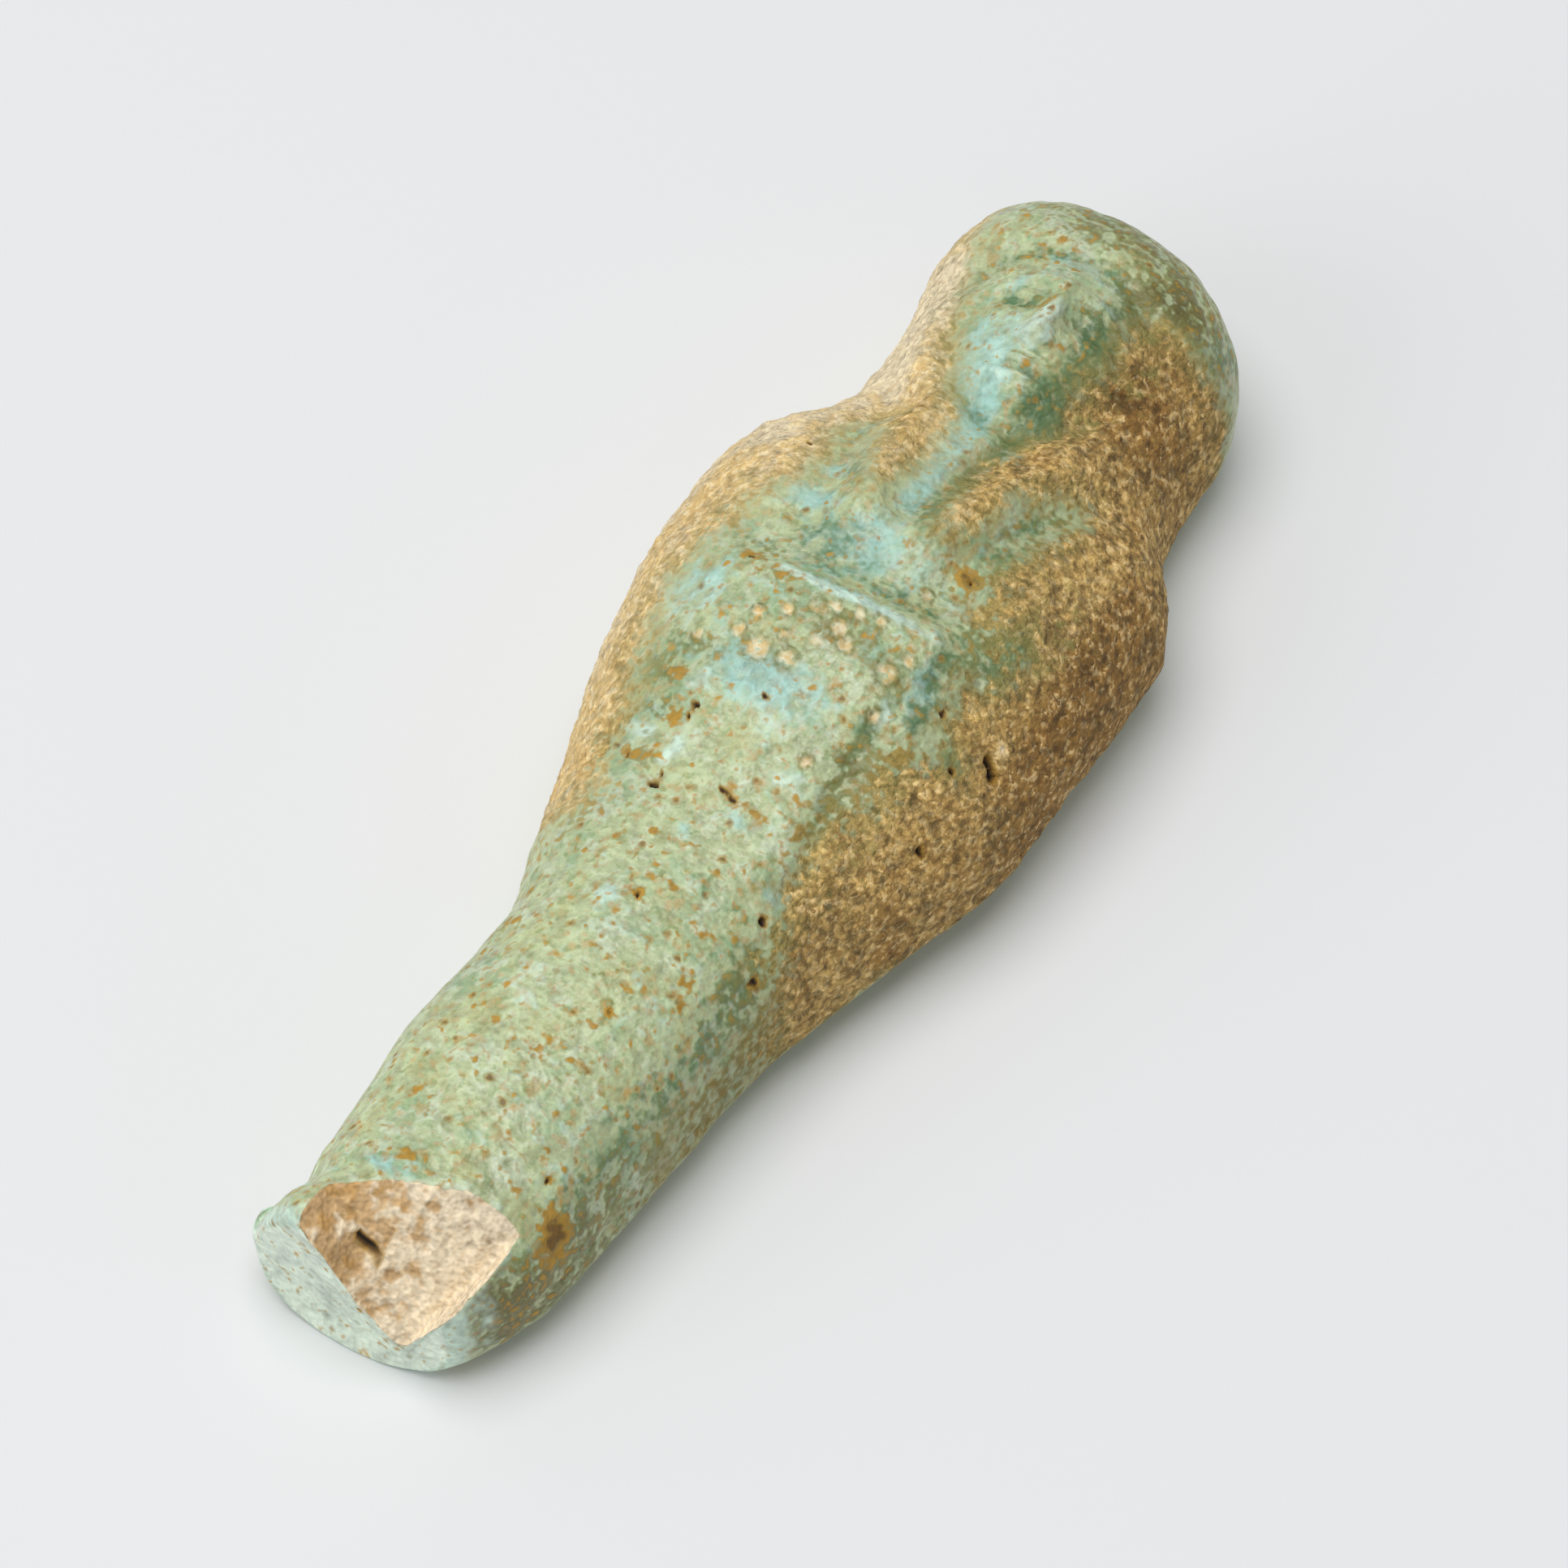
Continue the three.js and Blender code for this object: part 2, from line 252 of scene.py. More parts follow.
# Arms: crossed forearms as one low band that stands out below a hollow at the breast.
arms = {
    "line": 57.3,           # upper edge of the band, above the soles
    "tilt": 0.06,           # rise of that edge across the body
    "depth": 8.5, "halfWidth": 9.5, "rise": 0.75,
    "hollow": 0.75, "hollowUp": 2.8, "hollowHalf": 2.3,
    "elbowLine": [(8.7, 58.0), (8.2, 54.0), (6.4, 50.0), (6.2, 46.0), (7.2, 40.0)],
    "elbowGroove": 0.42, "elbowHalf": 0.9,
}


# The band rises at its edge and fades out below and at its sides; the hollow is a soft dip above it.
def armRelief(x, y):
    line = arms["line"] + arms["tilt"] * x
    across = 1 - smooth(0.75, 1.15, np.abs(x) / arms["halfWidth"])
    hollow = arms["hollow"] * np.exp(-((y - line - arms["hollowUp"]) / arms["hollowHalf"]) ** 2)
    below = line - arms["depth"] - 5
    band = arms["rise"] * (1 - smooth(line - 0.9, line + 1.6, y)) * smooth(below, line - 3, y)
    return across * (band - hollow)


# Fracture of the foot: three slanting facets that meet in a hollow on the sole. Each is
# height at the middle of the sole + rise to the left * x + rise up the body * y.
facets = [(5.18, -0.67, 1.45), (0.52, 1.45, 0.10), (5.97, -1.50, 0.10)]

# The figure's right corner of the foot slopes down above the sole: drop, place and half-widths.
toe = {"drop": 3.0, "across": -8.2, "up": 2.5, "halfWidth": 2.6, "halfLength": 3.0}


# The height left standing by the fracture: the highest of the facets.
def fractureHeight(x, y):
    planes = [height + leftward * x + upward * y for height, leftward, upward in facets]
    return np.maximum.reduce(planes)


# The plain section at each height: its middle, half width and thickness from the curves, and the
# shares of width and height that the rounded crown and the edge of the sole leave.
def sectionSizes(y):
    share = y / figureLength
    right = smoothCurve(body["outline"], 1, share) * body["elbowWidth"]
    left = smoothCurve(body["outline"], 2, share) * body["elbowWidth"]
    thickness = smoothCurve(body["profile"], 1, share) * body["chestHeight"]
    crown = (y - figureLength) / body["crownRound"]
    acrossPower, heightPower = body["crownPowers"]
    soleEdge = roundOff((body["soleRound"] - y) / body["soleRound"], 2)
    sole = 1 - body["soleInset"] * (1 - soleEdge)
    widthShare = roundOff(crown + 1, acrossPower) * sole
    heightShare = roundOff(crown / body["crownReach"] + 1, heightPower) * sole
    return (right + left) / 2, (left - right) / 2, thickness, widthShare, heightShare


# The moulded skin before any wear, for heights y and turns round the body (0 at the figure's left):
# across goes with cos^(2/power) and height with sin^(2/power), with the reliefs added in front.
def mouldedSkin(y, turn):
    middle, halfWidth, thickness, widthShare, heightShare = sectionSizes(y)
    cos, sin = np.cos(turn), np.sin(turn)
    across = halfWidth * widthShare * np.sign(cos) * np.abs(cos) ** (2 / body["sidePower"])
    fading = np.maximum(1 - y / body["soleBowReach"], 0) ** 2
    bow = body["soleBow"] * (across / halfWidth) ** 2 * fading
    widest = thickness * body["widestShare"]
    under = widest - (widest + body["backSink"]) * heightShare * np.abs(sin) ** (2 / body["backPower"])
    dome, features = faceRelief(across, y)
    relief = dome + features + wigRelief(across, y) + armRelief(across, y)
    relief = smooth(0.25, 0.8, sin) * heightShare * relief
    slope = mound(across, y, toe["across"], toe["up"], toe["halfWidth"], toe["halfLength"])
    over = widest + (thickness - widest) * heightShare * np.abs(sin) ** (2 / body["frontPower"])
    over = over + relief - toe["drop"] * slope * smooth(0, 0.35, sin)
    z = np.where(sin < 0, np.maximum(under, 0), over)
    return np.stack([middle + across, y + bow, z], axis=-1), across, relief, features


# Heights of the rings: closer together over the chest and face, and by sines round both ends.
def ringHeights():
    soleTurns = np.linspace(0, math.pi / 2, body["soleEdgeRings"])
    soleEdge = body["soleRound"] * (1 - np.cos(soleTurns))
    legs = np.arange(body["soleRound"], body["bellyStart"], body["legStep"])
    belly = np.arange(body["bellyStart"], body["chestStart"], body["bellyStep"])
    crownStart = figureLength - body["crownRound"]
    chest = np.arange(body["chestStart"], crownStart, body["chestStep"])
    crownTurns = np.linspace(0, math.pi / 2, body["crownRings"])
    crown = crownStart + body["crownRound"] * np.sin(crownTurns)
    return np.concatenate([soleEdge[:-1], legs, belly, chest, crown])


# Turns of the points round a ring: even steps over the front, and wider even steps at the back.
def ringTurns():
    front = np.arange(body["frontPoints"]) / body["frontPoints"] * math.pi
    back = (1 + np.arange(body["backPoints"]) / body["backPoints"]) * math.pi
    return np.concatenate([front, back])


# Outward normals of a grid that closes round its second axis: slope along crossed with slope round.
def gridNormals(points):
    along = np.gradient(points, axis=0)
    sideways = np.roll(points, -1, axis=1) - np.roll(points, 1, axis=1)
    normal = np.cross(along, sideways)
    length = np.linalg.norm(normal, axis=-1, keepdims=True)
    return normal / np.maximum(length, 1e-9)


# Worn patches where the glaze is rubbed through to the body, as outlines on the front:
# across from the middle line and height above the soles.
wornPatches = [
    [   # figure's right: side of the wig, lappet, shoulder and arm
        (-22, 99), (-9.6, 97), (-8.8, 94), (-9.2, 91.5), (-8, 88), (-7.2, 85), (-6.2, 82),
        (-5.1, 80), (-4.4, 78), (-3.6, 76), (-2.7, 74), (-1.8, 72), (-1.5, 70), (-1.9, 67.6),
        (-2.8, 66.3), (-3.6, 67.2), (-4.6, 69), (-5.6, 71), (-7, 73.2), (-8.3, 72.8),
        (-8.7, 70.5), (-7.8, 68.5), (-8, 66.5), (-8.2, 64.5), (-9.5, 63), (-10.6, 61.5),
        (-10.4, 60), (-11, 58.5), (-11.9, 56.5), (-12.2, 54), (-12.3, 52), (-11.5, 50),
        (-11.2, 48), (-10, 45.5), (-9.4, 43), (-8.9, 40.5), (-8, 38.6), (-8.2, 37),
        (-9.6, 36), (-22, 34),
    ],
    [   # figure's left: wig, lappet, shoulder and arm
        (22, 89.6), (11.8, 89.8), (8.5, 90.3), (5, 90), (4.7, 87), (5.1, 84.5), (4.2, 82.6),
        (3.3, 81), (3.6, 78.6), (2.8, 77), (1.5, 75.5), (0.9, 73), (1.5, 70.5), (2.2, 68.4),
        (2.6, 66), (3.1, 64), (4.5, 65.8), (5.2, 68.5), (5.6, 70.6), (6.6, 72.4), (8.2, 74.2),
        (9.1, 72.8), (9.3, 70.5), (8.8, 68), (8.2, 65.5), (8, 63.6), (8.4, 61.6), (10, 60.6),
        (11.4, 59.6), (11, 57.4), (9.6, 55.6), (10.2, 53), (11.4, 51), (9.4, 49), (8.4, 47.4),
        (8.6, 45.6), (7.6, 44), (7.2, 41.6), (7.4, 39.6), (7.2, 37.4), (8.4, 36), (8.4, 33.5),
        (9.4, 31.5), (9.9, 26), (10.3, 19), (22, 17),
    ],
]

# The lists of spots below give across, height, half-width, half-height and amount of each.
# Glaze left in the worn patches (below 0) and spots rubbed bare in the glaze (above 0).
wornSpots = [
    (11.6, 63.6, 1, 2.6, -1), (13.3, 64.3, 0.5, 1.7, -0.9), (12.4, 60.8, 1.5, 1.2, -1),
    (12, 57.2, 1, 1.6, -0.8), (11.7, 51.3, 0.9, 0.8, -1), (9.8, 46.6, 0.8, 1.6, -0.8),
    (12.6, 66.6, 0.6, 0.8, -0.8), (-11.6, 64.4, 0.9, 1.6, -0.9), (-12.2, 60, 0.8, 1, -0.7),
    (2, 74, 0.8, 1.6, -0.9), (2.6, 70.2, 0.6, 1.6, -0.8), (-7.4, 70.8, 0.6, 2, -0.9),
    (9.6, 38.6, 0.5, 1, -0.8), (8.9, 34, 0.5, 1.6, -0.9), (-9.2, 50.6, 0.9, 1, 0.5),
    (7.6, 60.7, 1.6, 0.8, 1.1), (-7.2, 57.4, 1, 0.45, 1.3), (-6.9, 47.2, 0.7, 0.4, 1.4),
    (-5.9, 44.7, 0.6, 0.6, 1.4), (2.9, 40.7, 1, 0.5, 1.4), (-0.2, 41.1, 0.7, 0.35, 1.2),
    (5.8, 41.3, 0.6, 0.6, 1.2), (7.4, 31.8, 0.5, 1.8, 1), (5.9, 27.2, 0.5, 1.3, 0.9),
    (3.3, 35.6, 0.4, 0.9, 0.7), (1.2, 33.2, 0.5, 0.5, 0.7), (4.6, 43.4, 1.2, 0.5, 0.8),
    (2.8, 79, 1.2, 2.2, -0.9),
]

# How ragged the edge of the wear is, over the plain edge.
ragged = [
    (10.5, 58, 4, 9, 1.3), (8.5, 42, 3, 7, 1.2), (-9.5, 42, 3, 7, 1.4), (-9.5, 60, 3, 5, 0.6),
    (8.5, 31, 2, 6, 1), (3.5, 71, 3, 6, 0.6),
]

# Bare body browner than its surroundings (above 0) or paler (below 0).
browned = [
    (8, 88.6, 3.4, 1.8, 0.7), (7.6, 84, 3.2, 2.8, 1.9), (3.4, 74, 2.2, 3, 0.7),
    (4.2, 75.4, 0.8, 0.9, 0.8), (10.8, 73, 1.1, 4, 0.55), (9.4, 69.6, 0.6, 2.6, 0.6),
    (16, 66, 1.5, 6, 0.9), (15.8, 56, 1.7, 8, 0.8), (13.6, 59.6, 0.9, 1.6, 0.3),
    (14.4, 68, 0.6, 5, 0.7), (13.2, 41.4, 1.2, 1.6, 0.7), (12.4, 46, 2, 3, 0.35),
    (9.4, 38, 1.2, 4, 0.5), (9.6, 26, 0.9, 8, 0.9), (-5.2, 73.6, 0.7, 1.9, 0.8),
    (-3.6, 70.2, 0.8, 2.6, 0.15), (-10, 68, 1.4, 3, 0.35), (-12.6, 63, 1.5, 4, 0.35),
    (-14.6, 58, 0.9, 6, 0.30), (-12.9, 49.5, 1, 3, 0.45), (-9.4, 41, 1.2, 2.6, 0.6),
    (7.4, 79.8, 3, 2, 0.8), (6.6, 75.6, 1.6, 2, -0.25), (13.8, 54.4, 0.45, 0.7, -2.6),
    (12.4, 69.6, 1.6, 2, -0.25), (-9.6, 84, 3, 9, -0.7), (11, 81, 1.2, 4, 0.35),
    (3.4, 66.6, 0.6, 2.4, -0.4), (-12, 70, 3, 4, -0.25), (-11.8, 44, 3, 5, 0.55),
    (-14, 58, 4, 14, 0.35),
]

# Turquoise flushes of the glaze.
flushes = [
    (-9.6, 54.2, 2.6, 2.6, 0.9), (-2, 49, 5, 2.2, 1.25), (-6.2, 63.6, 2.2, 1.2, 1.1),
    (-6.2, 66.6, 1.2, 0.9, 1), (2.4, 39.5, 1.8, 1, 0.75), (-0.8, 37.2, 1.2, 1.4, 0.4),
    (-3.6, 81, 2.6, 5, 0.8), (-0.6, 90.8, 3, 0.7, 0.9), (-1.6, 76, 1.5, 6, 1),
    (-0.2, 68, 1.3, 4.6, 1), (1.8, 57.1, 4.6, 0.55, 1), (-2.4, 6.4, 1.8, 0.8, 0.9),
    (8.2, 53.4, 1.2, 2.4, 1.1), (-0.6, 60.2, 9, 2.4, 0.6), (-3.4, 87.6, 1, 1.4, 0.5),
    (7, 36.6, 0.9, 1.2, 1), (-2.6, 31.5, 1.2, 2.4, 0.6), (2.2, 88, 2.6, 1.6, 0.5),
    (-7.6, 44.6, 1.2, 1.4, 0.7), (3.8, 54, 2, 1.6, 0.4), (-4.6, 55.4, 2, 1.2, 0.4),
    (6.6, 14, 1.4, 2, 0.4), (0, 28.6, 1.6, 1.2, 0.4), (6.4, 66.6, 1, 2, 0.5),
    (5.6, 24.6, 1.6, 2.4, 0.4), (-0.6, 62.4, 3, 1.6, 0.5),
]

# Deeper green where the glaze pooled, and partly painted shade: many spots lie in grooves and
# hollows and beside the face, where shade falls.
poolsAndShade = [
    (3.4, 84, 1.4, 4.4, 1.5), (2.6, 78.8, 1.6, 1.8, 1.9), (4.2, 88.6, 1, 1.8, 1),
    (1.4, 75, 0.7, 2.6, 0.9), (1.6, 70.6, 0.9, 4.6, 1.3), (7.3, 68.4, 1.4, 4.4, 0.75),
    (-7.2, 70.6, 0.9, 2.6, 0.3), (8.6, 56.4, 1.1, 2.8, 1.2), (8.6, 52, 1, 2.2, 1.1),
    (6.3, 48.4, 0.8, 3.6, 1.2), (0.6, 82.6, 0.5, 2.4, 0.6), (-3.2, 59.6, 3.2, 1.5, 0.5),
    (4, 59, 3.2, 1.1, 0.8), (-3, 61.8, 2.4, 1.2, 0.5), (-0.2, 66.6, 0.5, 3, 0.3),
    (-3.6, 65.4, 0.9, 2.2, 0.5), (10.8, 58.6, 1.2, 2, 1.1), (7.8, 30.6, 1.4, 4, 0.9),
    (8.4, 22, 1.4, 9, 0.7), (1.9, 65.6, 1.2, 1.8, 0.9), (8.2, 10, 1.2, 7, 0.75),
    (7, 43, 0.7, 2.4, 0.7), (-4.8, 67, 0.9, 1.8, 0.7), (10.6, 92.4, 1.6, 2.4, 1.1),
    (12, 61.8, 1.8, 4.4, 1.1), (-9.8, 47.4, 1.2, 1, 0.7), (-8.8, 49.8, 1.6, 0.5, 0.6),
    (-8.6, 58.6, 1.6, 0.8, 0.6), (5.4, 35, 0.8, 5, 0.4), (9.6, 43, 1, 6, 0.5),
    (13.4, 64.6, 0.7, 2.4, 0.6), (11.6, 51.2, 1, 1.4, 0.8), (-8, 46, 2.2, 4.4, 0.65),
    (6.6, 46, 1.2, 5, 0.35), (-4.6, 37, 2, 1.6, 0.3), (-6.4, 53.8, 1, 1.2, 0.3),
]

# Milky glaze, thickest on edges that stand out, and partly painted highlights: spots along the
# band's edge and on the lumps of the belly put light into the colour.
milksAndHighlights = [
    (-2.4, 56.8, 3, 0.4, 1.2), (3.8, 57.1, 3.4, 0.4, 1.5), (-8.8, 53.5, 1.5, 1.2, 0.6),
    (-5.6, 47.4, 1.2, 1.2, 1), (-7.2, 43, 1.4, 0.9, 1.1), (-4.4, 42.4, 0.8, 1.6, 1),
    (-0.6, 46.5, 2.4, 1.2, 0.5), (3.2, 43.5, 3, 1.2, 0.6), (-8.6, 2, 2.6, 4, 0.9),
    (-2.2, 80, 1.4, 3, 0.5), (-1, 83.6, 1, 1.6, 0.4), (7, 38.4, 0.8, 1.4, 0.7),
    (6.6, 50.6, 1, 1.6, 0.5), (-2.4, 30.6, 1.4, 2.2, 0.5), (-2, 22, 2, 2.4, 0.4),
    (3.6, 88, 1.4, 0.8, 0.5), (8, 2.4, 1.4, 1.2, 0.6), (4.4, 7.9, 3, 0.3, 0.6),
]

# Olive and brown tinges of the glaze.
tinges = [
    (2.4, 95.8, 8, 3.4, 1.2), (7.3, 92.2, 2.2, 1.8, 2.4), (4.4, 90.8, 1.6, 1.6, 1),
    (-8.8, 47.4, 1.8, 1.1, 1.3), (5.6, 53, 1.7, 1.5, 0.8), (-6.6, 49.6, 1.6, 0.8, 0.9),
    (-6.8, 44.8, 2, 0.9, 1.1), (-6.6, 41.2, 2, 0.8, 1.1), (-3.4, 50.9, 1.7, 1.5, 0.6),
    (-4.4, 56.2, 1.8, 0.7, 1.1), (0.8, 60.9, 1.6, 0.5, 0.3), (4.6, 46.8, 2.4, 0.8, 0.6),
    (-8, 26, 1.8, 9, 0.4), (0.8, 84.6, 1, 1.2, 1), (3, 86.8, 1.8, 1, 0.8),
    (2.6, 18, 3.6, 4.6, 0.35), (-5, 34, 3, 3, 0.3), (8.2, 31, 1.2, 4, 0.9),
    (-6.6, 58.4, 1.6, 0.9, 0.7), (5.6, 61.4, 2, 0.9, 0.5), (-1, 86, 1.4, 0.9, 0.9),
    (9, 9, 1, 11, 1.2), (8.4, 4.2, 0.9, 3, 1.6), (-3.4, 12.6, 3, 2, 0.3), (9.8, 26, 0.6, 9, 0.7),
    (8.6, 46, 1.6, 4, 0.8), (9.6, 60, 1.4, 3, 0.8), (0.6, 31, 4, 6, 0.25), (8, 72, 1.6, 1.6, 0.9),
    (4.6, 85.6, 0.9, 4, 0.9), (-1.6, 8, 1.6, 0.7, 0.8), (1, 54.4, 3.2, 1.8, 1.1),
    (6.4, 46, 1.2, 4.6, 1.1), (-9, 36.4, 2, 1.6, 0.6), (2, 24.5, 2.5, 3, 0.3),
]

# Ochre stains.
stains = [
    (6.3, 63.1, 1.1, 0.8, 1.7), (-7, 57.3, 1, 0.5, 0.9), (-4, 56.3, 1, 0.5, 0.5),
    (-7, 47.3, 0.7, 0.4, 1), (-6, 44.6, 0.7, 0.6, 1), (-9, 43.9, 0.8, 0.25, 0.9),
    (-7.1, 41.2, 0.8, 0.4, 1.2), (-5.6, 41.6, 0.5, 0.4, 0.8), (0, 41, 0.8, 0.3, 0.8),
    (2.9, 40.6, 1, 0.5, 1), (5.8, 41.2, 0.6, 0.6, 1.1), (-8.4, 37.2, 1.3, 0.7, 0.9),
    (-0.5, 31.6, 0.4, 0.4, 1.2), (1.2, 33.2, 0.5, 0.5, 0.8), (8.4, 38.3, 0.9, 1.2, 0.8),
    (5.6, 28, 0.6, 0.8, 0.7), (6, 26.6, 0.4, 0.6, 0.9), (0.8, 26.4, 0.6, 0.3, 0.9),
    (3.1, 23, 0.35, 0.3, 1.3), (2.8, 25.2, 0.8, 0.25, 0.8), (-4.3, 12.2, 0.7, 0.4, 0.8),
    (-2.5, 18.9, 0.7, 0.3, 0.8), (6.3, 11.6, 0.4, 0.3, 1.1), (5.1, 9.4, 0.3, 0.3, 0.9),
    (7.6, 9.6, 0.7, 1, 1.3), (8.2, 9.2, 0.45, 1.5, 1.7), (8.4, 33.6, 0.6, 2, 0.8),
    (-1.8, 7.7, 1.2, 0.3, 0.9), (8.6, 5, 0.3, 1.4, 0.35), (8.8, 46.6, 1.2, 3, 0.6),
    (7.8, 42.6, 0.8, 1.6, 0.7), (8.8, 49, 0.6, 0.8, 0.8), (-2.4, 92.1, 0.5, 0.5, 0.8),
    (-4.4, 90.1, 0.5, 0.3, 0.7), (5, 43.2, 0.9, 0.4, 0.6), (3.2, 35.6, 0.4, 0.8, 0.7),
    (-2.2, 36.4, 0.3, 0.6, 0.8), (0.9, 18.4, 0.8, 0.8, 0.5), (-4.5, 53, 0.5, 0.4, 0.7),
    (4.4, 19, 0.7, 0.8, 0.5), (-1.2, 85.8, 0.5, 0.5, 0.6), (-4.2, 35, 0.4, 0.5, 0.6),
    (-7.4, 27, 0.5, 0.8, 0.5), (5.3, 13, 0.3, 0.4, 0.7), (-5.4, 88.9, 1.2, 0.25, 0.6),
    (4.8, 31, 0.3, 0.6, 0.7), (1.6, 28, 0.4, 0.3, 0.6),
]

# Pits: across, height, radius, depth.
pits = [
    (13.6, 53.2, 0.34, 0.9), (14.1, 52.8, 0.38, 0.9), (11.9, 50.8, 0.28, 0.6),
    (9.8, 53.3, 0.22, 0.4), (12.5, 45.6, 0.26, 0.5), (-4.4, 39.6, 0.36, 0.8),
    (-4.3, 40.4, 0.20, 0.6), (-5, 45.7, 0.22, 0.6), (-5, 44.8, 0.18, 0.4), (-7.3, 41.1, 0.18, 0.4),
    (7.3, 34.7, 0.34, 0.6), (-0.5, 31.5, 0.18, 0.4), (6.5, 63, 0.18, 0.5), (3.1, 22.9, 0.16, 0.35),
    (-1, 48, 0.16, 0.2), (-0.2, 28.1, 0.14, 0.25), (6.3, 11.6, 0.14, 0.25), (7.8, 21.3, 0.16, 0.2),
    (8.4, 31.4, 0.24, 0.3), (-7.2, 57.3, 0.16, 0.3), (-9.4, 68.4, 0.16, 0.3),
]

# Round burst bubbles with a low rim and a pale floor: across, height, radius.
bubbles = [
    (-3.2, 50.7, 0.9), (-1, 50.8, 0.8), (5.4, 53, 0.8), (1.2, 54.3, 0.65), (0.3, 55.5, 0.6),
    (-0.8, 55, 0.6), (2.1, 53.4, 0.6), (-2.6, 54, 0.5), (-4.4, 53, 0.5), (1.9, 55.9, 0.5),
    (6.4, 54.6, 0.5), (3.4, 56.2, 0.5), (-5, 51.4, 0.5), (-2, 52.2, 0.4), (0.2, 52.8, 0.4),
    (3.8, 45.4, 0.5), (-7.6, 50.2, 0.4), (4.6, 60.4, 0.5), (6, 50.2, 0.5),
]

# Cracks, as chains of points: across and height. One crosses the belly, one the fracture.
bellyCrack = [(0.0, 41.1), (0.6, 41.0), (1.3, 40.7)]
fractureCrack = [(-0.6, 2.6), (0.3, 2.6), (1.1, 2.5)]

# Texture: how far the surface moves in or out, in millimetres.
texture = {
    "lump": 0.16, "smallLump": 0.11,    # lumps of the glaze, 5 and 1.8 mm wide
    "bellyLump": 0.34,      # lumps added on the belly
    "faceCalm": 0.6,        # share of the lumps that the face lacks
    "peel": 0.08, "barePeel": 0.05,     # soft dimples everywhere, and more where bare
    "step": 0.08,           # how far the bare body lies below the glaze
    "grain": 0.13,          # grains of the bare body
    "bubbleRim": 0.10, "bubbleFloor": 0.08,
    "crack": 0.25, "seam": 0.22,
    "chip": 0.45,           # unevenness of the fracture's edge
    "breakGrain": 0.10, "breakLump": 0.16, "breakCrack": 0.6,
    "soleLump": 0.05,
}


# Sum of the soft mounds in a list, each times its amount.
def moundSum(x, y, spots):
    total = np.zeros(x.shape)
    for atX, atY, halfWidth, halfHeight, amount in spots:
        total += amount * mound(x, y, atX, atY, halfWidth, halfHeight)
    return total


# How far each place is from the edge of the wear, in millimetres, above 0 where the body is bare:
# the distance into a worn patch plus noise and spots in front, and at the back no more than the
# height above a wavering line low on the side.
def wearDistance(points, across, y, front):
    wear = np.maximum.reduce([insideDistance(across, y, patch) for patch in wornPatches])
    wear = wear + 0.5 * layeredNoise(points, 1.6, 3, 41) + moundSum(across, y, wornSpots)
    lowSide = 1 - smooth(4, 9, points[..., 2])
    wear = wear + 2.6 * lowSide * layeredNoise(points, 7.0, 2, 47)
    side = (points[..., 2] - 3.2) * 1.5 + 2.2 * layeredNoise(points, 5.0, 2, 45)
    return np.where(front, wear, np.minimum(wear, side))


# Ragged pits and round burst bubbles, each a smooth step in the distance from its middle plus
# noise: how far into a pit, how deep it goes, and the bubbles' floors and rims.
def pitFields(points, across, y):
    hole, sunk, burst, rims = (np.zeros(y.shape) for _ in range(4))
    wobble = 0.16 * latticeNoise(points, 0.45, 51)
    for atX, atY, radius, depth in pits:
        away = np.hypot(across - atX, y - atY) + wobble
        here = 1 - smooth(0.4 * radius, 1.3 * radius, away)
        hole = np.maximum(hole, here)
        sunk = np.maximum(sunk, here * depth)
    for atX, atY, radius in bubbles:
        away = np.hypot(across - atX, y - atY) / radius + 0.2 * latticeNoise(points, 0.6, 53)
        burst = np.maximum(burst, 1 - smooth(0.5, 1.0, away))
        rims = np.maximum(rims, np.exp(-((away - 1.05) / 0.25) ** 2))
    return hole, sunk, burst, rims


# The foot broken off: points above the facets plus noise are brought down to them. Gives how far
# above the break each point was.
def breakFoot(points):
    chip = texture["chip"] * layeredNoise(points * [1.0, 0.45, 1.0], 1.6, 3, 31)
    limit = fractureHeight(points[..., 0], points[..., 1]) + chip
    proud = points[..., 2] - limit
    points[..., 2] = np.where(proud > 0, limit, points[..., 2])
    return proud


# Lumps of the glaze: broad and small noise, calmer over the face and stronger on the belly.
def glazeLumps(points, across, y, facing):
    broad, small = layeredNoise(points, 5.0, 2, 11), layeredNoise(points, 1.8, 2, 21)
    lumps = texture["lump"] * broad + texture["smallLump"] * small
    belly = mound(across, y, -0.5, 46.0, 9.0, 9.0) * facing
    calm = 1 - texture["faceCalm"] * mound(across, y, 0, 83.8, 6.0, 7.0) * facing
    return lumps * calm + texture["bellyLump"] * belly * layeredNoise(points, 1.4, 2, 25)


# Mould seam on the figure's left: a line at one height that fades out at the foot and the arm.
def seamLine(points, y, turn):
    seam = np.exp(-((points[..., 2] - body["seamHeight"]) / 0.28) ** 2) * (np.cos(turn) > 0.9)
    return seam * smooth(6, 9, y) * (1 - smooth(46, 56, y))


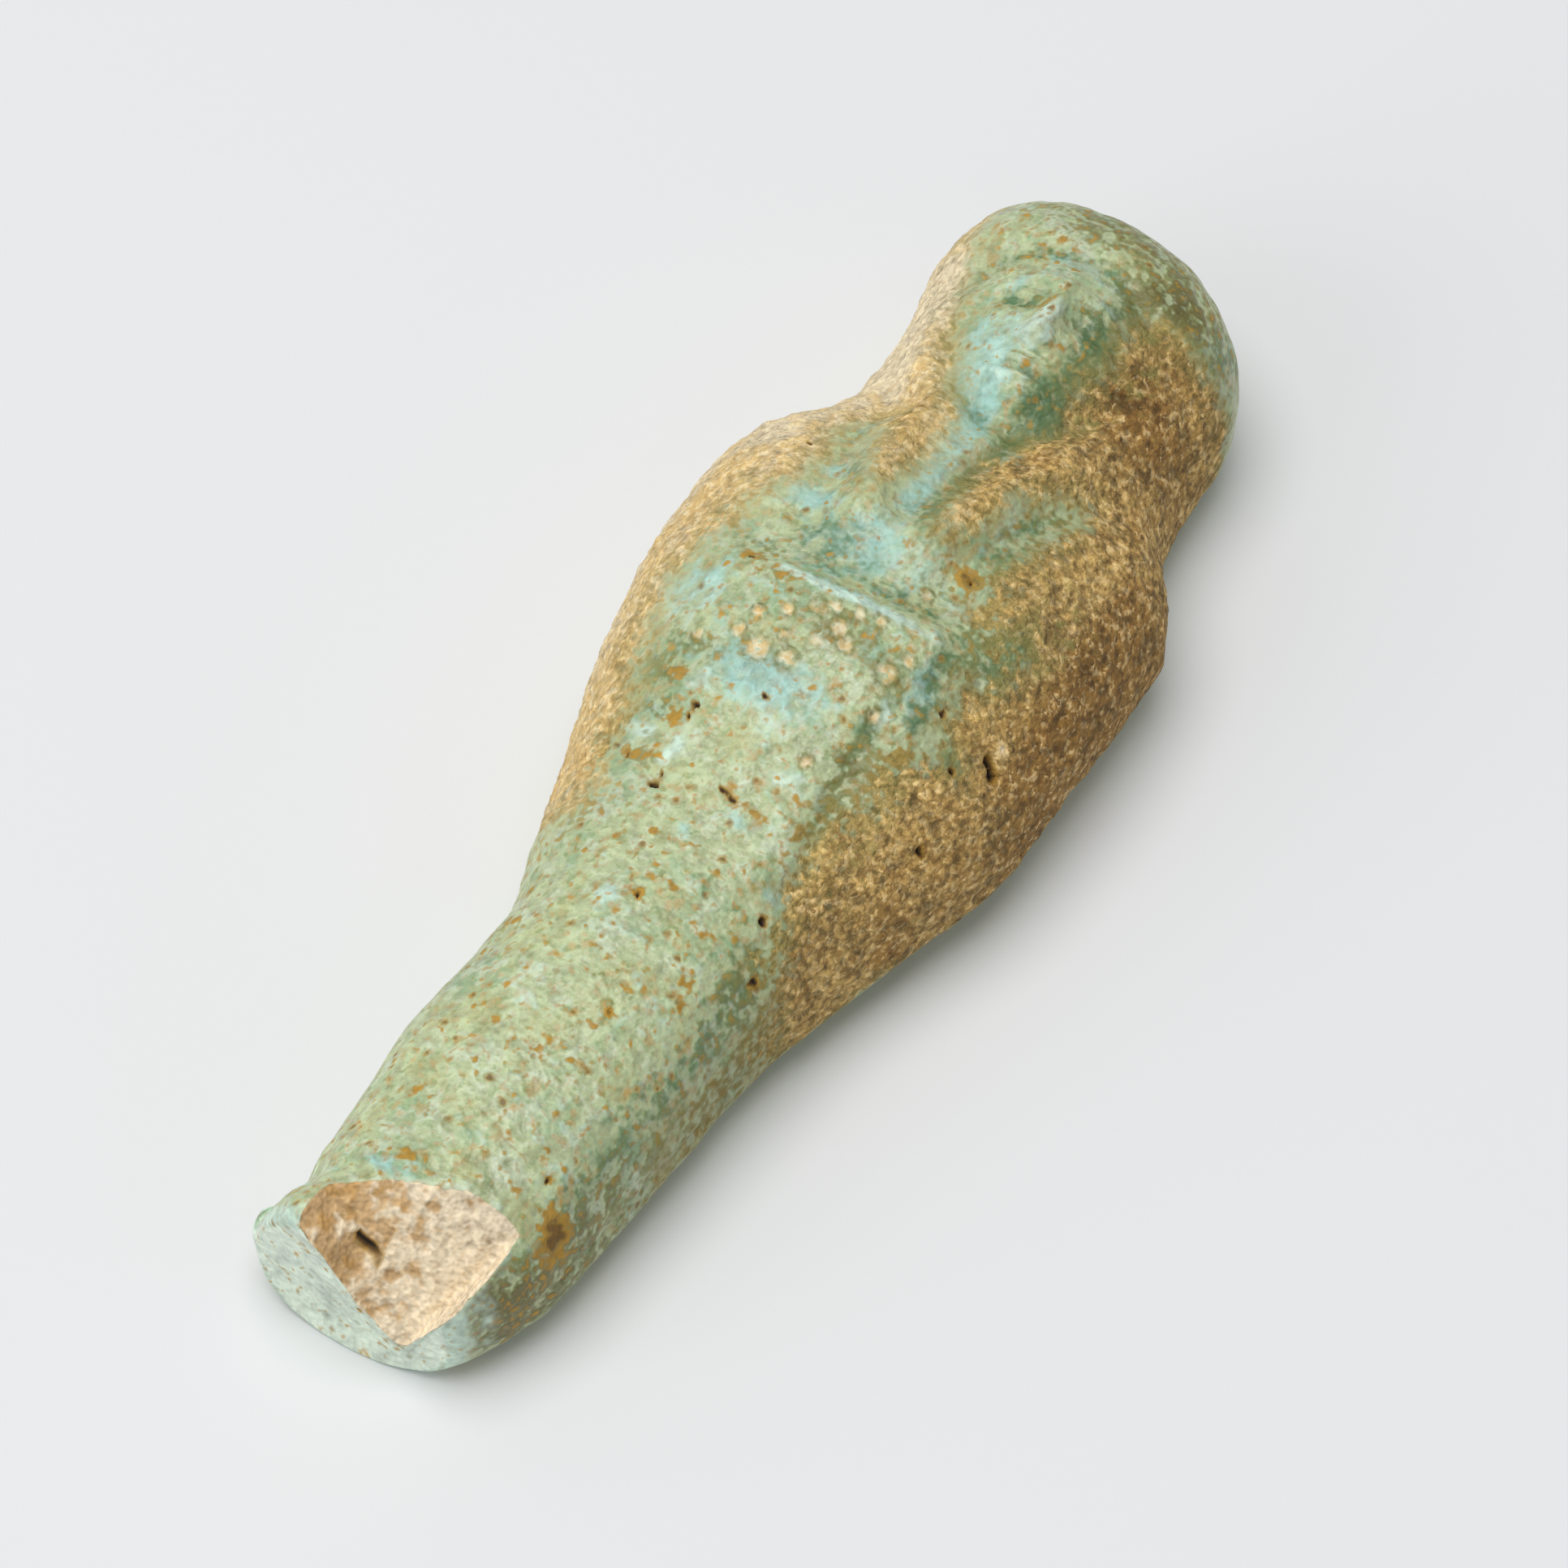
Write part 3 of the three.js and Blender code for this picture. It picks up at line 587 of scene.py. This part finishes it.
# Everything the figurine's surface needs, as arrays on the grid: points moved along their normals
# by the texture, and the fields that the material reads.
def wornSkin():
    y, turn = np.meshgrid(ringHeights(), ringTurns(), indexing="ij")
    points, across, relief, features = mouldedSkin(y, turn)
    facing = smooth(-0.4, -0.05, np.sin(turn))      # 1 in front and at the sides, 0 at the back
    proud = breakFoot(points)

    wear = wearDistance(points, across, y, np.sin(turn) > 0)
    bare = smooth(-0.4, 0.5, wear)
    hole, sunk, burst, rims = pitFields(points, across, y)
    grain, peel = layeredNoise(points, 0.6, 2, 61), layeredNoise(points, 1.1, 2, 71)
    elbow = arms["elbowGroove"] * ridgeChain(across, y, arms["elbowLine"], arms["elbowHalf"])
    crack = ridgeChain(across, y, bellyCrack, 0.16)
    dents = elbow + texture["crack"] * crack + sunk
    dents = dents - texture["bubbleRim"] * rims + texture["bubbleFloor"] * burst
    skinShift = glazeLumps(points, across, y, facing) - dents * facing
    skinShift = skinShift - texture["step"] * bare + texture["grain"] * bare * grain
    skinShift = skinShift + (texture["peel"] + texture["barePeel"] * bare) * peel
    skinShift = skinShift - texture["seam"] * seamLine(points, y, turn)

    breakCrack = ridgeChain(across, y, fractureCrack, 0.19)
    breakShift = texture["breakGrain"] * grain + texture["breakLump"] * layeredNoise(points, 1.2, 2, 91)
    breakShift = breakShift - texture["breakCrack"] * breakCrack
    shift = np.where(proud > 0, breakShift, skinShift)
    offFloor = smooth(0.02, 1.2, points[..., 2])
    points = points + gridNormals(points) * (shift * offFloor)[..., None]
    points[..., 2] = np.maximum(points[..., 2], 0)

    # glaze runs off the raised features and gathers beside them; this also paints shade into the
    # face's hollows and a highlight onto the nose and the other raised features
    sunkenPoolAndShade = 1.8 * np.clip(-features, 0, 1) * facing
    raisedThinAndHighlight = 0.7 * np.clip(features - 0.3, 0, 1) * facing
    cracks = np.maximum(0.95 * crack, 1.25 * breakCrack)

    fields = {
        "wear": np.clip(wear, -4, 4),
        "ragged": moundSum(across, y, ragged) * facing,
        "broken": np.clip(proud, -4, 4),
        # tone rises across the body towards the figure's left: the bare body browns and darkens that
        # way and the fracture pales, partly as painted light and shade
        "tone": 0.5 + across / 14 + moundSum(across, y, browned) * facing,
        "flush": moundSum(across, y, flushes) * facing,
        # deep green: pooled glaze, and painted shade in the hollows of the relief and of the face
        "poolAndShade": moundSum(across, y, poolsAndShade) * facing + 0.28 * np.clip(-relief, 0, 1) + sunkenPoolAndShade,
        # milky glaze, with painted highlights on raised spots, on the face's raised features and along
        # the sole's edge
        "milkAndHighlight": moundSum(across, y, milksAndHighlights) * facing + 1.1 * (1 - smooth(0.4, 1.8, y)) + raisedThinAndHighlight,
        "tinge": moundSum(across, y, tinges) * facing,
        "stain": moundSum(across, y, stains) * smooth(-0.25, 0.1, np.sin(turn)),
        "hole": np.clip(np.maximum(hole, cracks), 0, 1) * facing,
        "burst": burst * facing,
        "rims": rims * facing,
    }
    return points, fields


# The sole: the first ring of the skin drawn in by even shares towards a middle under the fracture,
# with soft lumps that calm down towards the edge. outward is 0 at the middle and 1 at the edge.
def soleRings(firstRing):
    middleX, middleZ = body["soleMiddle"]
    middle = np.array([middleX, firstRing[:, 1].mean(), middleZ])
    shares = np.linspace(0, 1, body["soleRings"] + 2)[1:-1]
    rings = middle + (firstRing - middle) * shares[:, None, None]
    outward = np.linspace(0, 1, len(rings))[:, None]
    rings[..., 1] += texture["soleLump"] * layeredNoise(rings, 0.9, 2, 81) * (1 - 0.8 * outward)
    return middle, rings, outward


# Quads between neighbouring rings, and a fan of triangles at each end round the last two points.
def closedFaces(rings, count):
    here = np.arange(rings * count).reshape(rings, count)
    beside = np.roll(here, -1, axis=1)
    quads = np.stack([here[:-1], here[1:], beside[1:], beside[:-1]], axis=-1).reshape(-1, 4)
    soleCentre, crownTip = np.full(count, rings * count), np.full(count, rings * count + 1)
    soleFan = np.stack([soleCentre, here[0], beside[0]], axis=-1)
    crownFan = np.stack([crownTip, beside[-1], here[-1]], axis=-1)
    return quads, np.concatenate([soleFan, crownFan])


# A field over the sole, the skin and the two end points. The sole takes the values of the first
# ring, but it is milkier, partly as painted light on a face that the lamp barely reaches, and its
# own surface is no part of the fracture.
def wholeField(key, values, outward):
    sole = np.repeat(values[:1], len(outward), axis=0)
    if key == "broken":
        sole = np.minimum(sole, -0.25) - 2 * (1 - outward)
    if key == "milkAndHighlight":
        sole = sole + 1.2
    rings = np.concatenate([sole, values[:-1]]).reshape(-1)
    return np.concatenate([rings, [values[0].mean(), values[-1].mean()]])


# One closed mesh from the rings of the sole and of the skin, put into the frame in metres.
def figurineMesh(name):
    skin, fields = wornSkin()
    middle, sole, outward = soleRings(skin[0])
    rings = np.concatenate([sole, skin[:-1]])
    tip = skin[-1].mean(axis=0)
    points = np.concatenate([rings.reshape(-1, 3), [middle, tip]])
    centreX = (points[:, 0].min() + points[:, 0].max()) / 2
    frameX, frameY, frameZ = (low[0] + high[0]) / 2, low[1], low[2]
    points = (points - [centreX, 0, 0]) * millimetre + [frameX, frameY, frameZ]

    quads, fans = closedFaces(len(rings), rings.shape[1])
    mesh = bpy.data.meshes.new(name)
    mesh.from_pydata(points.tolist(), [], quads.tolist() + fans.tolist())
    mesh.update()
    mesh.shade_smooth()
    for key, values in fields.items():
        layer = mesh.attributes.new(key, "FLOAT", "POINT")
        layer.data.foreach_set("value", wholeField(key, values, outward).astype(np.float32))
    print("figurine mesh:", len(points), "points,", 2 * len(quads) + len(fans), "triangles")
    return mesh


# One output of a shader node, with its arithmetic written as plain expressions.
class Wire:
    def __init__(self, graph, socket):
        self.graph, self.socket = graph, socket

    def __add__(self, other):
        return self.graph.math("ADD", self, other)

    def __sub__(self, other):
        return self.graph.math("SUBTRACT", self, other)

    def __rsub__(self, other):
        return self.graph.math("SUBTRACT", other, self)

    def __mul__(self, other):
        return self.graph.math("MULTIPLY", self, other)

    __radd__ = __add__
    __rmul__ = __mul__


# A material's node tree; node() makes any node from its type, settings and sockets.
class Graph:
    def __init__(self, name):
        self.material = bpy.data.materials.new(name)
        self.material.use_nodes = True
        self.tree = self.material.node_tree
        self.tree.nodes.clear()

    def node(self, kind, settings=None, sockets=None, output=0):
        made = self.tree.nodes.new(kind)
        for key, value in (settings or {}).items():
            setattr(made, key, value)
        for key, value in (sockets or {}).items():
            if isinstance(value, Wire):
                self.tree.links.new(value.socket, made.inputs[key])
            else:
                made.inputs[key].default_value = value
        return Wire(self, made.outputs[output]) if len(made.outputs) else None

    def math(self, operation, a, b):
        return self.node("ShaderNodeMath", {"operation": operation}, {0: a, 1: b})

    def field(self, name):
        return self.node("ShaderNodeAttribute", {"attribute_name": name}, output="Fac")

    # smooth rise from 0 to 1 between two values
    def rise(self, value, start, end):
        sockets = {"Value": value, "From Min": start, "From Max": end, "To Min": 0.0, "To Max": 1.0}
        return self.node("ShaderNodeMapRange", {"interpolation_type": "SMOOTHSTEP"}, sockets)

    def mix(self, factor, a, b, blend="MIX"):
        settings = {"data_type": "RGBA", "blend_type": blend, "clamp_factor": True}
        return self.node("ShaderNodeMix", settings, {0: factor, 6: a, 7: b}, output=2)

    # colours of the finish laid over a base one after another, each as thick as its mask * share
    def layers(self, base, *rows):
        for mask, share, name in rows:
            base = self.mix(mask * share, base, finish[name])
        return base

    # mix of two values: a * (1 - factor) + b * factor
    def blend(self, factor, a, b):
        return self.node("ShaderNodeMix", {"data_type": "FLOAT"}, {0: factor, 2: a, 3: b})

    # noise about 0 on a place in millimetres, with features about size millimetres across
    def noise(self, place, size, detail=2.0, roughness=0.5):
        sockets = {"Vector": place, "Scale": 1.0 / size, "Detail": detail, "Roughness": roughness}
        return self.node("ShaderNodeTexNoise", {"noise_dimensions": "3D"}, sockets) - 0.5

    # a place pushed about by a noise with features about size millimetres across
    def warped(self, place, size, push):
        noise = self.node("ShaderNodeTexNoise", None, {"Vector": place, "Scale": 1.0 / size}, "Color")
        sockets = {0: noise, 1: (push, push, push), 2: place}
        return self.node("ShaderNodeVectorMath", {"operation": "MULTIPLY_ADD"}, sockets)

    # cells of about size millimetres: how far each place is from the middle of its cell, and a
    # random value from 0 to 1 for each cell
    def cells(self, place, size):
        settings = {"voronoi_dimensions": "3D", "feature": "F1"}
        away = self.node("ShaderNodeTexVoronoi", settings, {"Vector": place, "Scale": 1.0 / size})
        return away, Wire(self, away.socket.node.outputs["Color"])

    # round dots in cells of about size millimetres, 1 in their middle, only in the cells whose
    # random value is below a limit: the rarer the dots, the lower the limit
    def dots(self, place, size, radius, rarity, wobble):
        away, chance = self.cells(place, size)
        limit = 0.5 - 0.3 * rarity
        chosen = 1.0 - self.rise(chance, limit, limit + 0.05)
        return (1.0 - self.rise(away + wobble, 0.3 * radius / size, radius / size)) * chosen


def rgb(red, green, blue):
    return (red, green, blue, 1.0)


# Finish: linear colours of the glaze, its stains, the body and its grains.
finish = {
    "celadon": rgb(0.56, 0.645, 0.37),
    "celadonGreen": rgb(0.345, 0.475, 0.265),
    "khaki": rgb(0.475, 0.475, 0.225),
    "milky": rgb(0.71, 0.81, 0.61),
    "ice": rgb(0.62, 0.8, 0.68),
    "chalk": rgb(0.8, 0.88, 0.74),
    "deepGreen": rgb(0.19, 0.28, 0.11),
    "turquoise": rgb(0.365, 0.64, 0.59),
    # deep green of pooled glaze, also laid into hollows as painted shade
    "poolAndShade": rgb(0.078, 0.165, 0.065),
    "olive": rgb(0.21, 0.22, 0.068),
    "brownOlive": rgb(0.15, 0.13, 0.036),
    "tan": rgb(0.6, 0.42, 0.19),
    "ochre": rgb(0.44, 0.25, 0.032),
    "ochreDark": rgb(0.14, 0.07, 0.012),
    "sandPale": rgb(0.9, 0.77, 0.52),
    "sandRight": rgb(0.77, 0.56, 0.25),
    "sandLeft": rgb(0.57, 0.375, 0.125),
    "sandDark": rgb(0.31, 0.165, 0.04),
    "grainPale": rgb(0.93, 0.79, 0.51),
    "grainGold": rgb(0.76, 0.57, 0.28),
    "grainBrown": rgb(0.54, 0.31, 0.1),
    "grainDark": rgb(0.2, 0.11, 0.03),
    "cream": rgb(0.87, 0.735, 0.525),
    "creamBrown": rgb(0.68, 0.45, 0.22),
    # near-black painted shade for the middles of pits and cracks
    "holeShade": rgb(0.022, 0.014, 0.008),
}


# The figurine's graph, with what its colours share: noises from clouds of several millimetres down
# to single grains, and how far each place is into the wear, the pools and the stains. The pools
# of deep green are partly painted shade in hollows.
class FaienceGraph(Graph):
    def __init__(self):
        super().__init__("worn glazed faience")
        metres = self.node("ShaderNodeTexCoord", output="Object")
        scaled = {0: metres, "Scale": 1000.0}
        self.place = self.node("ShaderNodeVectorMath", {"operation": "SCALE"}, scaled)
        moved = {0: self.place, 1: (31.0, 17.0, 59.0)}
        self.away = self.node("ShaderNodeVectorMath", {"operation": "ADD"}, moved)

        self.broad = self.noise(self.place, 6.0)
        self.cloud = self.noise(self.away, 3.0, 2.0, 0.6)
        self.medium = self.noise(self.place, 1.8, 2.0, 0.6)
        self.small = self.noise(self.place, 1.0, 1.0)
        self.other = self.noise(self.away, 1.2, 1.0)
        self.fine = self.noise(self.place, 0.55, 1.0)
        self.speck = self.noise(self.away, 0.6, 1.0)
        self.grit = self.noise(self.place, 0.3, 0.0)
        grainSize = 0.34
        reach, chance = self.cells(self.warped(self.place, grainSize / 0.7, 0.9), grainSize)
        self.grain = 0.45 - reach
        self.grainTone = chance - 0.5

        # wear: distance from its edge, made uneven by noise, more so where the edge is ragged
        uneven = self.cloud * 1.4 + self.medium * 2.2 + self.small * 1.6
        uneven = uneven + self.fine * 1.8 + self.speck * 1.6
        self.edge = self.field("wear") + uneven * (0.7 + self.field("ragged"))
        self.nearWear = self.rise(self.edge, -3.4, -0.3)

        poolAndShade = self.field("poolAndShade")
        clouded = self.medium * 1.7 + self.small * 1.6 + self.fine * 1.4
        self.pooledAndShaded = self.rise(poolAndShade + clouded * (0.9 + poolAndShade * 0.6), 0.1, 1.4)
        self.stain = self.field("stain") + self.speck * 2.0 + self.small * 1.4 + self.fine * 1.2
        self.freckles = self.dots(self.place, 1.25, 0.46, 0.6, self.fine * 0.5)


# Unstained glaze: pale celadon with greener and khaki clouds, then blotches of deep green, milky
# and tan, each where a sum of noises is high. The deep green and milky blotches are partly the
# glaze's own mottling and partly painted shade in its hollows and painted highlight on its lumps.
def plainGlaze(g):
    greener = g.rise(g.broad + g.medium * 0.8, -0.04, 0.2)
    tanned = g.speck + g.other * 0.8 + g.medium * 0.4 + g.nearWear * 0.16
    return g.layers(
        g.mix(greener, finish["celadon"], finish["celadonGreen"]),
        (g.rise(g.cloud + g.other * 0.6, -0.02, 0.18), 0.65, "khaki"),
        (g.rise(g.fine + g.other * 0.6 - g.grain * 0.15, 0.0, 0.24), 0.5, "deepGreen"),
        (g.rise(g.small + g.speck * 0.5 - g.cloud * 1.2, 0.0, 0.24), 0.55, "milky"),
        (g.rise(tanned, 0.13, 0.26), 0.45, "tan"),
        (g.rise(g.grit + g.speck, 0.1, 0.26), 0.25, "tan"),
    )


# Tints over the glaze: turquoise flushes, pools of green that are partly painted shade, olive and
# brown tinges, milky edges that are partly painted highlight, each where its field plus noise is high.
def tintedGlaze(g, glaze):
    flush, tinge, milkAndHighlight = g.field("flush"), g.field("tinge"), g.field("milkAndHighlight")
    clouded = g.medium * 1.6 + g.small * 1.6 + g.fine * 1.6 + g.speck
    tinge = tinge + clouded * (0.8 + tinge * 1.2)
    return g.layers(
        glaze,
        (g.rise(flush + g.medium * 1.6 + g.small * 1.2, 0.15, 1.2), 0.85, "turquoise"),
        (g.pooledAndShaded, 0.92, "poolAndShade"),
        (g.rise(tinge, 0.25, 1.2), 0.8, "olive"),
        (g.rise(tinge, 1.1, 2.1), 0.9, "brownOlive"),
        (g.rise(milkAndHighlight + g.medium * 1.4 + g.small * 1.2, 0.15, 1.1), 0.85, "ice"),
        (g.rise(milkAndHighlight + g.small, 1.2, 1.9), 0.65, "chalk"),
    )


# Marks on the glaze: round freckles with dark cores, ochre stains, burst bubbles with sandy floors.
# Noise then makes the whole lighter and darker: partly uneven tone, and partly painted shade and
# highlight, since the same noises raise the bump, so hollows darken and lumps lighten.
def markedGlaze(g, glaze):
    glaze = g.layers(
        glaze,
        (g.dots(g.away, 0.9, 0.36, 1.0, g.speck * 0.4), 0.38 + g.nearWear * 0.3, "olive"),
        (g.freckles, 0.7, "ochre"),
        (g.dots(g.place, 1.25, 0.24, 0.6, g.fine * 0.5), 0.6, "ochreDark"),
        (g.rise(g.stain, 0.2, 0.85), 0.96, "ochre"),
        (g.rise(g.stain, 1.15, 1.9), 0.8, "ochreDark"),
        (g.field("rims") * g.rise(g.speck, -0.24, 0.0), 0.9, "olive"),
    )
    sandy = g.rise(g.speck + g.fine, -0.1, 0.16)
    bubbleFloor = g.mix(sandy, finish["grainPale"], finish["sandRight"])
    glaze = g.mix(g.field("burst") * g.rise(g.small + g.fine, -0.26, -0.06) * 0.85, glaze, bubbleFloor)
    value = 1.0 + g.cloud * 0.4 + g.medium * 0.8 + g.small * 0.4 + g.fine * 0.6 + g.grainTone * 0.16
    return g.mix(1.0, glaze, value, "MULTIPLY")


# Bare body: sand on the figure's right, golden brown on the left, with pale and dark grains.
# The split is partly the body's own tone and partly painted light: paler on the right, which
# faces the lamp, and darker on the left, away from it.
def sandColour(g):
    tone = g.field("tone") + g.broad * 0.8 + g.cloud * 1.0 + g.medium * 1.6
    brown = g.rise(tone, 0.1, 1.0)
    sand = g.mix(g.rise(tone, -0.8, 0.05), finish["sandPale"], finish["sandRight"])
    sand = g.mix(brown, sand, finish["sandLeft"])
    sand = g.mix(g.rise(tone, 1.2, 2.5), sand, finish["sandDark"])
    lightGrain = g.mix(brown, finish["grainPale"], finish["grainGold"])
    darkGrain = g.mix(brown, finish["grainBrown"], finish["grainDark"])
    darkShare = g.rise(g.speck + g.fine * 0.6 - g.grain * 0.3, 0.0, 0.24) * (0.3 + brown * 0.45)
    sand = g.mix(darkShare, sand, darkGrain)
    lightShare = g.rise(g.grainTone * 0.5 - g.speck - g.fine * 0.5, 0.02, 0.32) * 0.65
    sand = g.mix(lightShare, sand, lightGrain)
    sand = g.layers(sand, (g.dots(g.away, 0.8, 0.26, 1.2, g.fine * 0.5), 0.55, "grainDark"))
    # lighter and darker by noise: partly uneven tone, partly painted shade in the hollows and painted
    # highlight on the grains, which the same noises raise in the bump
    uneven = g.cloud * 0.5 + g.medium * 1.3 + g.small * 1.3 + g.fine * 1.4 + g.grainTone * 0.5
    value = 1.0 + uneven * (0.55 + brown * 0.65)
    return g.mix(1.0, sand, g.math("MAXIMUM", value, 0.45), "MULTIPLY")


# Fracture: clean cream body, browner and stained towards the figure's right. That browner part
# is partly painted shade, as there the break faces away from the lamp.
def breakColour(g):
    pale = g.rise(g.field("tone") + g.medium * 1.2 + g.small * 0.8, 0.42, 0.68)
    clean = g.layers(
        g.mix(pale, finish["creamBrown"], finish["cream"]),
        (g.rise(g.speck + g.other * 0.5, 0.04, 0.24), 0.22, "creamBrown"),
        ((1.0 - pale) * g.rise(g.other + g.small, 0.02, 0.2), 0.75, "grainBrown"),
    )
    # lighter and darker by noise: partly uneven tone, partly painted shade in the hollows and painted
    # highlight on the lumps, which the same noises raise in the bump
    value = 1.0 + g.fine * 0.7 + g.small * 0.3 + g.medium * 0.5 + g.grit * 0.5
    return g.mix(1.0, clean, value, "MULTIPLY")


# The whole finish: glaze where it is left, sand where it is worn off, the fracture and dark pits
# over both. Gloss and bump are mixed by the same masks.
def faienceMaterial():
    g = FaienceGraph()
    broken, hole = g.field("broken"), g.field("hole")
    bare = g.rise(g.edge, -0.8, 0.9)
    glaze = markedGlaze(g, tintedGlaze(g, plainGlaze(g)))

    # thin glaze on the edge of the wear: khaki on the figure's right, olive on the left
    rubbed = g.mix(g.rise(g.field("tone"), 0.35, 0.85), finish["khaki"], finish["olive"])
    glaze = g.mix(g.rise(g.edge, -2.4, 0.0) * 0.5, glaze, rubbed)
    film = (1.0 - g.rise(g.edge, 0.3, 3.2)) * g.rise(g.cloud + g.speck + g.small * 0.5, -0.14, 0.16)
    sand = g.layers(
        sandColour(g),
        (film, 0.5, "olive"),
        # olive over the bare body where the glaze pooled, partly painted shade in hollows
        (g.pooledAndShaded * g.rise(g.other + g.medium, -0.16, 0.12), 0.75, "olive"),
    )
    # milky band along the fracture's edge: thicker glaze there, and partly a painted highlight on that
    # rim
    rim = g.rise(broken, -0.7, -0.15) * g.rise(g.medium + g.small, -0.12, 0.1)
    cut = g.rise(broken + g.fine * 0.3, -0.03, 0.03)
    colour = g.layers(g.mix(bare, glaze, sand), (rim, 0.5, "milky"))
    colour = g.layers(
        g.mix(cut, colour, breakColour(g)),
        # pits and cracks: ochre stain at the edge, darker ochre within, near-black painted shade at the
        # middle
        (g.rise(hole, 0.02, 0.3), 0.7, "ochre"),
        (g.rise(hole, 0.25, 0.6), 0.9, "ochreDark"),
        (g.rise(hole, 0.5, 0.9), 1.0, "holeShade"),
    )

    dry = g.math("MAXIMUM", bare, g.math("MAXIMUM", cut, g.rise(hole, 0.1, 0.5)))
    gloss = 0.32 + 0.18 * g.rise(g.medium, -0.15, 0.15) + 0.2 * g.freckles
    gloss = gloss + 0.3 * g.rise(g.stain, 0.2, 0.9)
    roughness = g.blend(dry, gloss, 0.92)

    # heights in millimetres: soft ripples in the glaze, grains in the sand, lumps in the fracture
    grains = g.grain * 0.1 + g.fine * 0.34 + g.small * 0.26 + g.medium * 0.24
    ripple = g.grain * 0.02 + g.fine * 0.1 + g.small * 0.3 + g.medium * 0.4 - g.freckles * 0.05
    split = g.fine * 0.22 + g.small * 0.26 + g.medium * 0.5
    height = g.blend(cut, g.blend(dry, ripple, grains) - bare * 0.1, split)
    normal = g.node("ShaderNodeBump", None, {"Strength": 1.0, "Distance": 0.001, "Height": height})

    shader = g.node("ShaderNodeBsdfPrincipled", None, {
        "Base Color": colour, "Roughness": roughness, "Normal": normal, "IOR": 1.48,
    })
    g.node("ShaderNodeOutputMaterial", None, {"Surface": shader})
    return g.material


# The piece: its mesh is already in place, so the object stays at the origin.
def addFigurine():
    mesh = figurineMesh("figurineSkin")
    piece = bpy.data.objects.new("figurineSkin", mesh)
    bpy.context.collection.objects.link(piece)
    mesh.materials.append(faienceMaterial())
    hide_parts("figurine")
    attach(piece, "root")
    return piece


# Studio: pale floor, soft light from the upper left, grey sky to fill the shadows. Angles are in
# degrees and distances in metres.
studio = {
    "azimuth": 30.3, "elevation": 56.0, "distance": 0.450,
    "aim": (-0.00251, -0.00095, 0.008),
    "shiftRight": 0.00215, "shiftUp": -0.00171,     # how far the aim is moved in the view
    "lens": 151.8, "sensor": 36.0,
    "floorSize": 4.0, "floorGrey": 0.84, "floorTint": (0.985, 1.0, 1.015),
    "lampPlace": (-0.200, -0.110, 1.580), "lampSize": 1.35, "lampPower": 17.4,
    "fillPlace": (-0.630, -1.000, 0.560), "fillSize": 1.0, "fillPower": 3.4,
    "skyGrey": 0.31,
}


# The camera looks back along a direction of (sin a cos e, -cos a cos e, sin e), for azimuth a and
# elevation e.
def addCamera():
    azimuth, elevation = math.radians(studio["azimuth"]), math.radians(studio["elevation"])
    back = Vector((math.sin(azimuth) * math.cos(elevation),
                   -math.cos(azimuth) * math.cos(elevation), math.sin(elevation)))
    right = Vector((math.cos(azimuth), math.sin(azimuth), 0))
    up = back.cross(right)
    aim = Vector(studio["aim"]) + right * studio["shiftRight"] + up * studio["shiftUp"]
    data = bpy.data.cameras.new("studioCamera")
    data.lens, data.sensor_width = studio["lens"], studio["sensor"]
    data.clip_start, data.clip_end = 0.01, 10
    camera = bpy.data.objects.new("studioCamera", data)
    camera.location = aim + back * studio["distance"]
    camera.rotation_mode = "QUATERNION"
    camera.rotation_quaternion = (-back).to_track_quat("-Z", "Y")
    bpy.context.collection.objects.link(camera)
    bpy.context.scene.camera = camera


# One square on the level of the frame's floor.
def addFloor():
    half = studio["floorSize"] / 2
    mesh = bpy.data.meshes.new("floor")
    corners = [(-half, -half, 0), (half, -half, 0), (half, half, 0), (-half, half, 0)]
    mesh.from_pydata(corners, [], [(0, 1, 2, 3)])
    floor = bpy.data.objects.new("floor", mesh)
    bpy.context.collection.objects.link(floor)
    g = Graph("pale floor")
    red, green, blue = (studio["floorGrey"] * share for share in studio["floorTint"])
    shader = g.node("ShaderNodeBsdfPrincipled", None, {
        "Base Color": rgb(red, green, blue), "Roughness": 0.7,
    })
    g.node("ShaderNodeOutputMaterial", None, {"Surface": shader})
    mesh.materials.append(g.material)


# A round area lamp that faces the origin.
def addLamp(name):
    data = bpy.data.lights.new(name, "AREA")
    data.shape = "DISK"
    data.size = studio[name + "Size"]
    data.energy = studio[name + "Power"]
    lamp = bpy.data.objects.new(name, data)
    lamp.location = studio[name + "Place"]
    lamp.rotation_mode = "QUATERNION"
    lamp.rotation_quaternion = (-lamp.location).to_track_quat("-Z", "Y")
    bpy.context.collection.objects.link(lamp)


# Key lamp, fill lamp and an even grey sky.
def addLight():
    addLamp("lamp")
    addLamp("fill")
    world = bpy.data.worlds.new("studioSky")
    world.use_nodes = True
    grey = studio["skyGrey"]
    world.node_tree.nodes["Background"].inputs["Color"].default_value = rgb(grey, grey, grey)
    bpy.context.scene.world = world


bpy.context.scene.view_settings.view_transform = "Standard"
addCamera()
addFloor()
addLight()
print("studio ready")
addFigurine()
print("figurine ready")
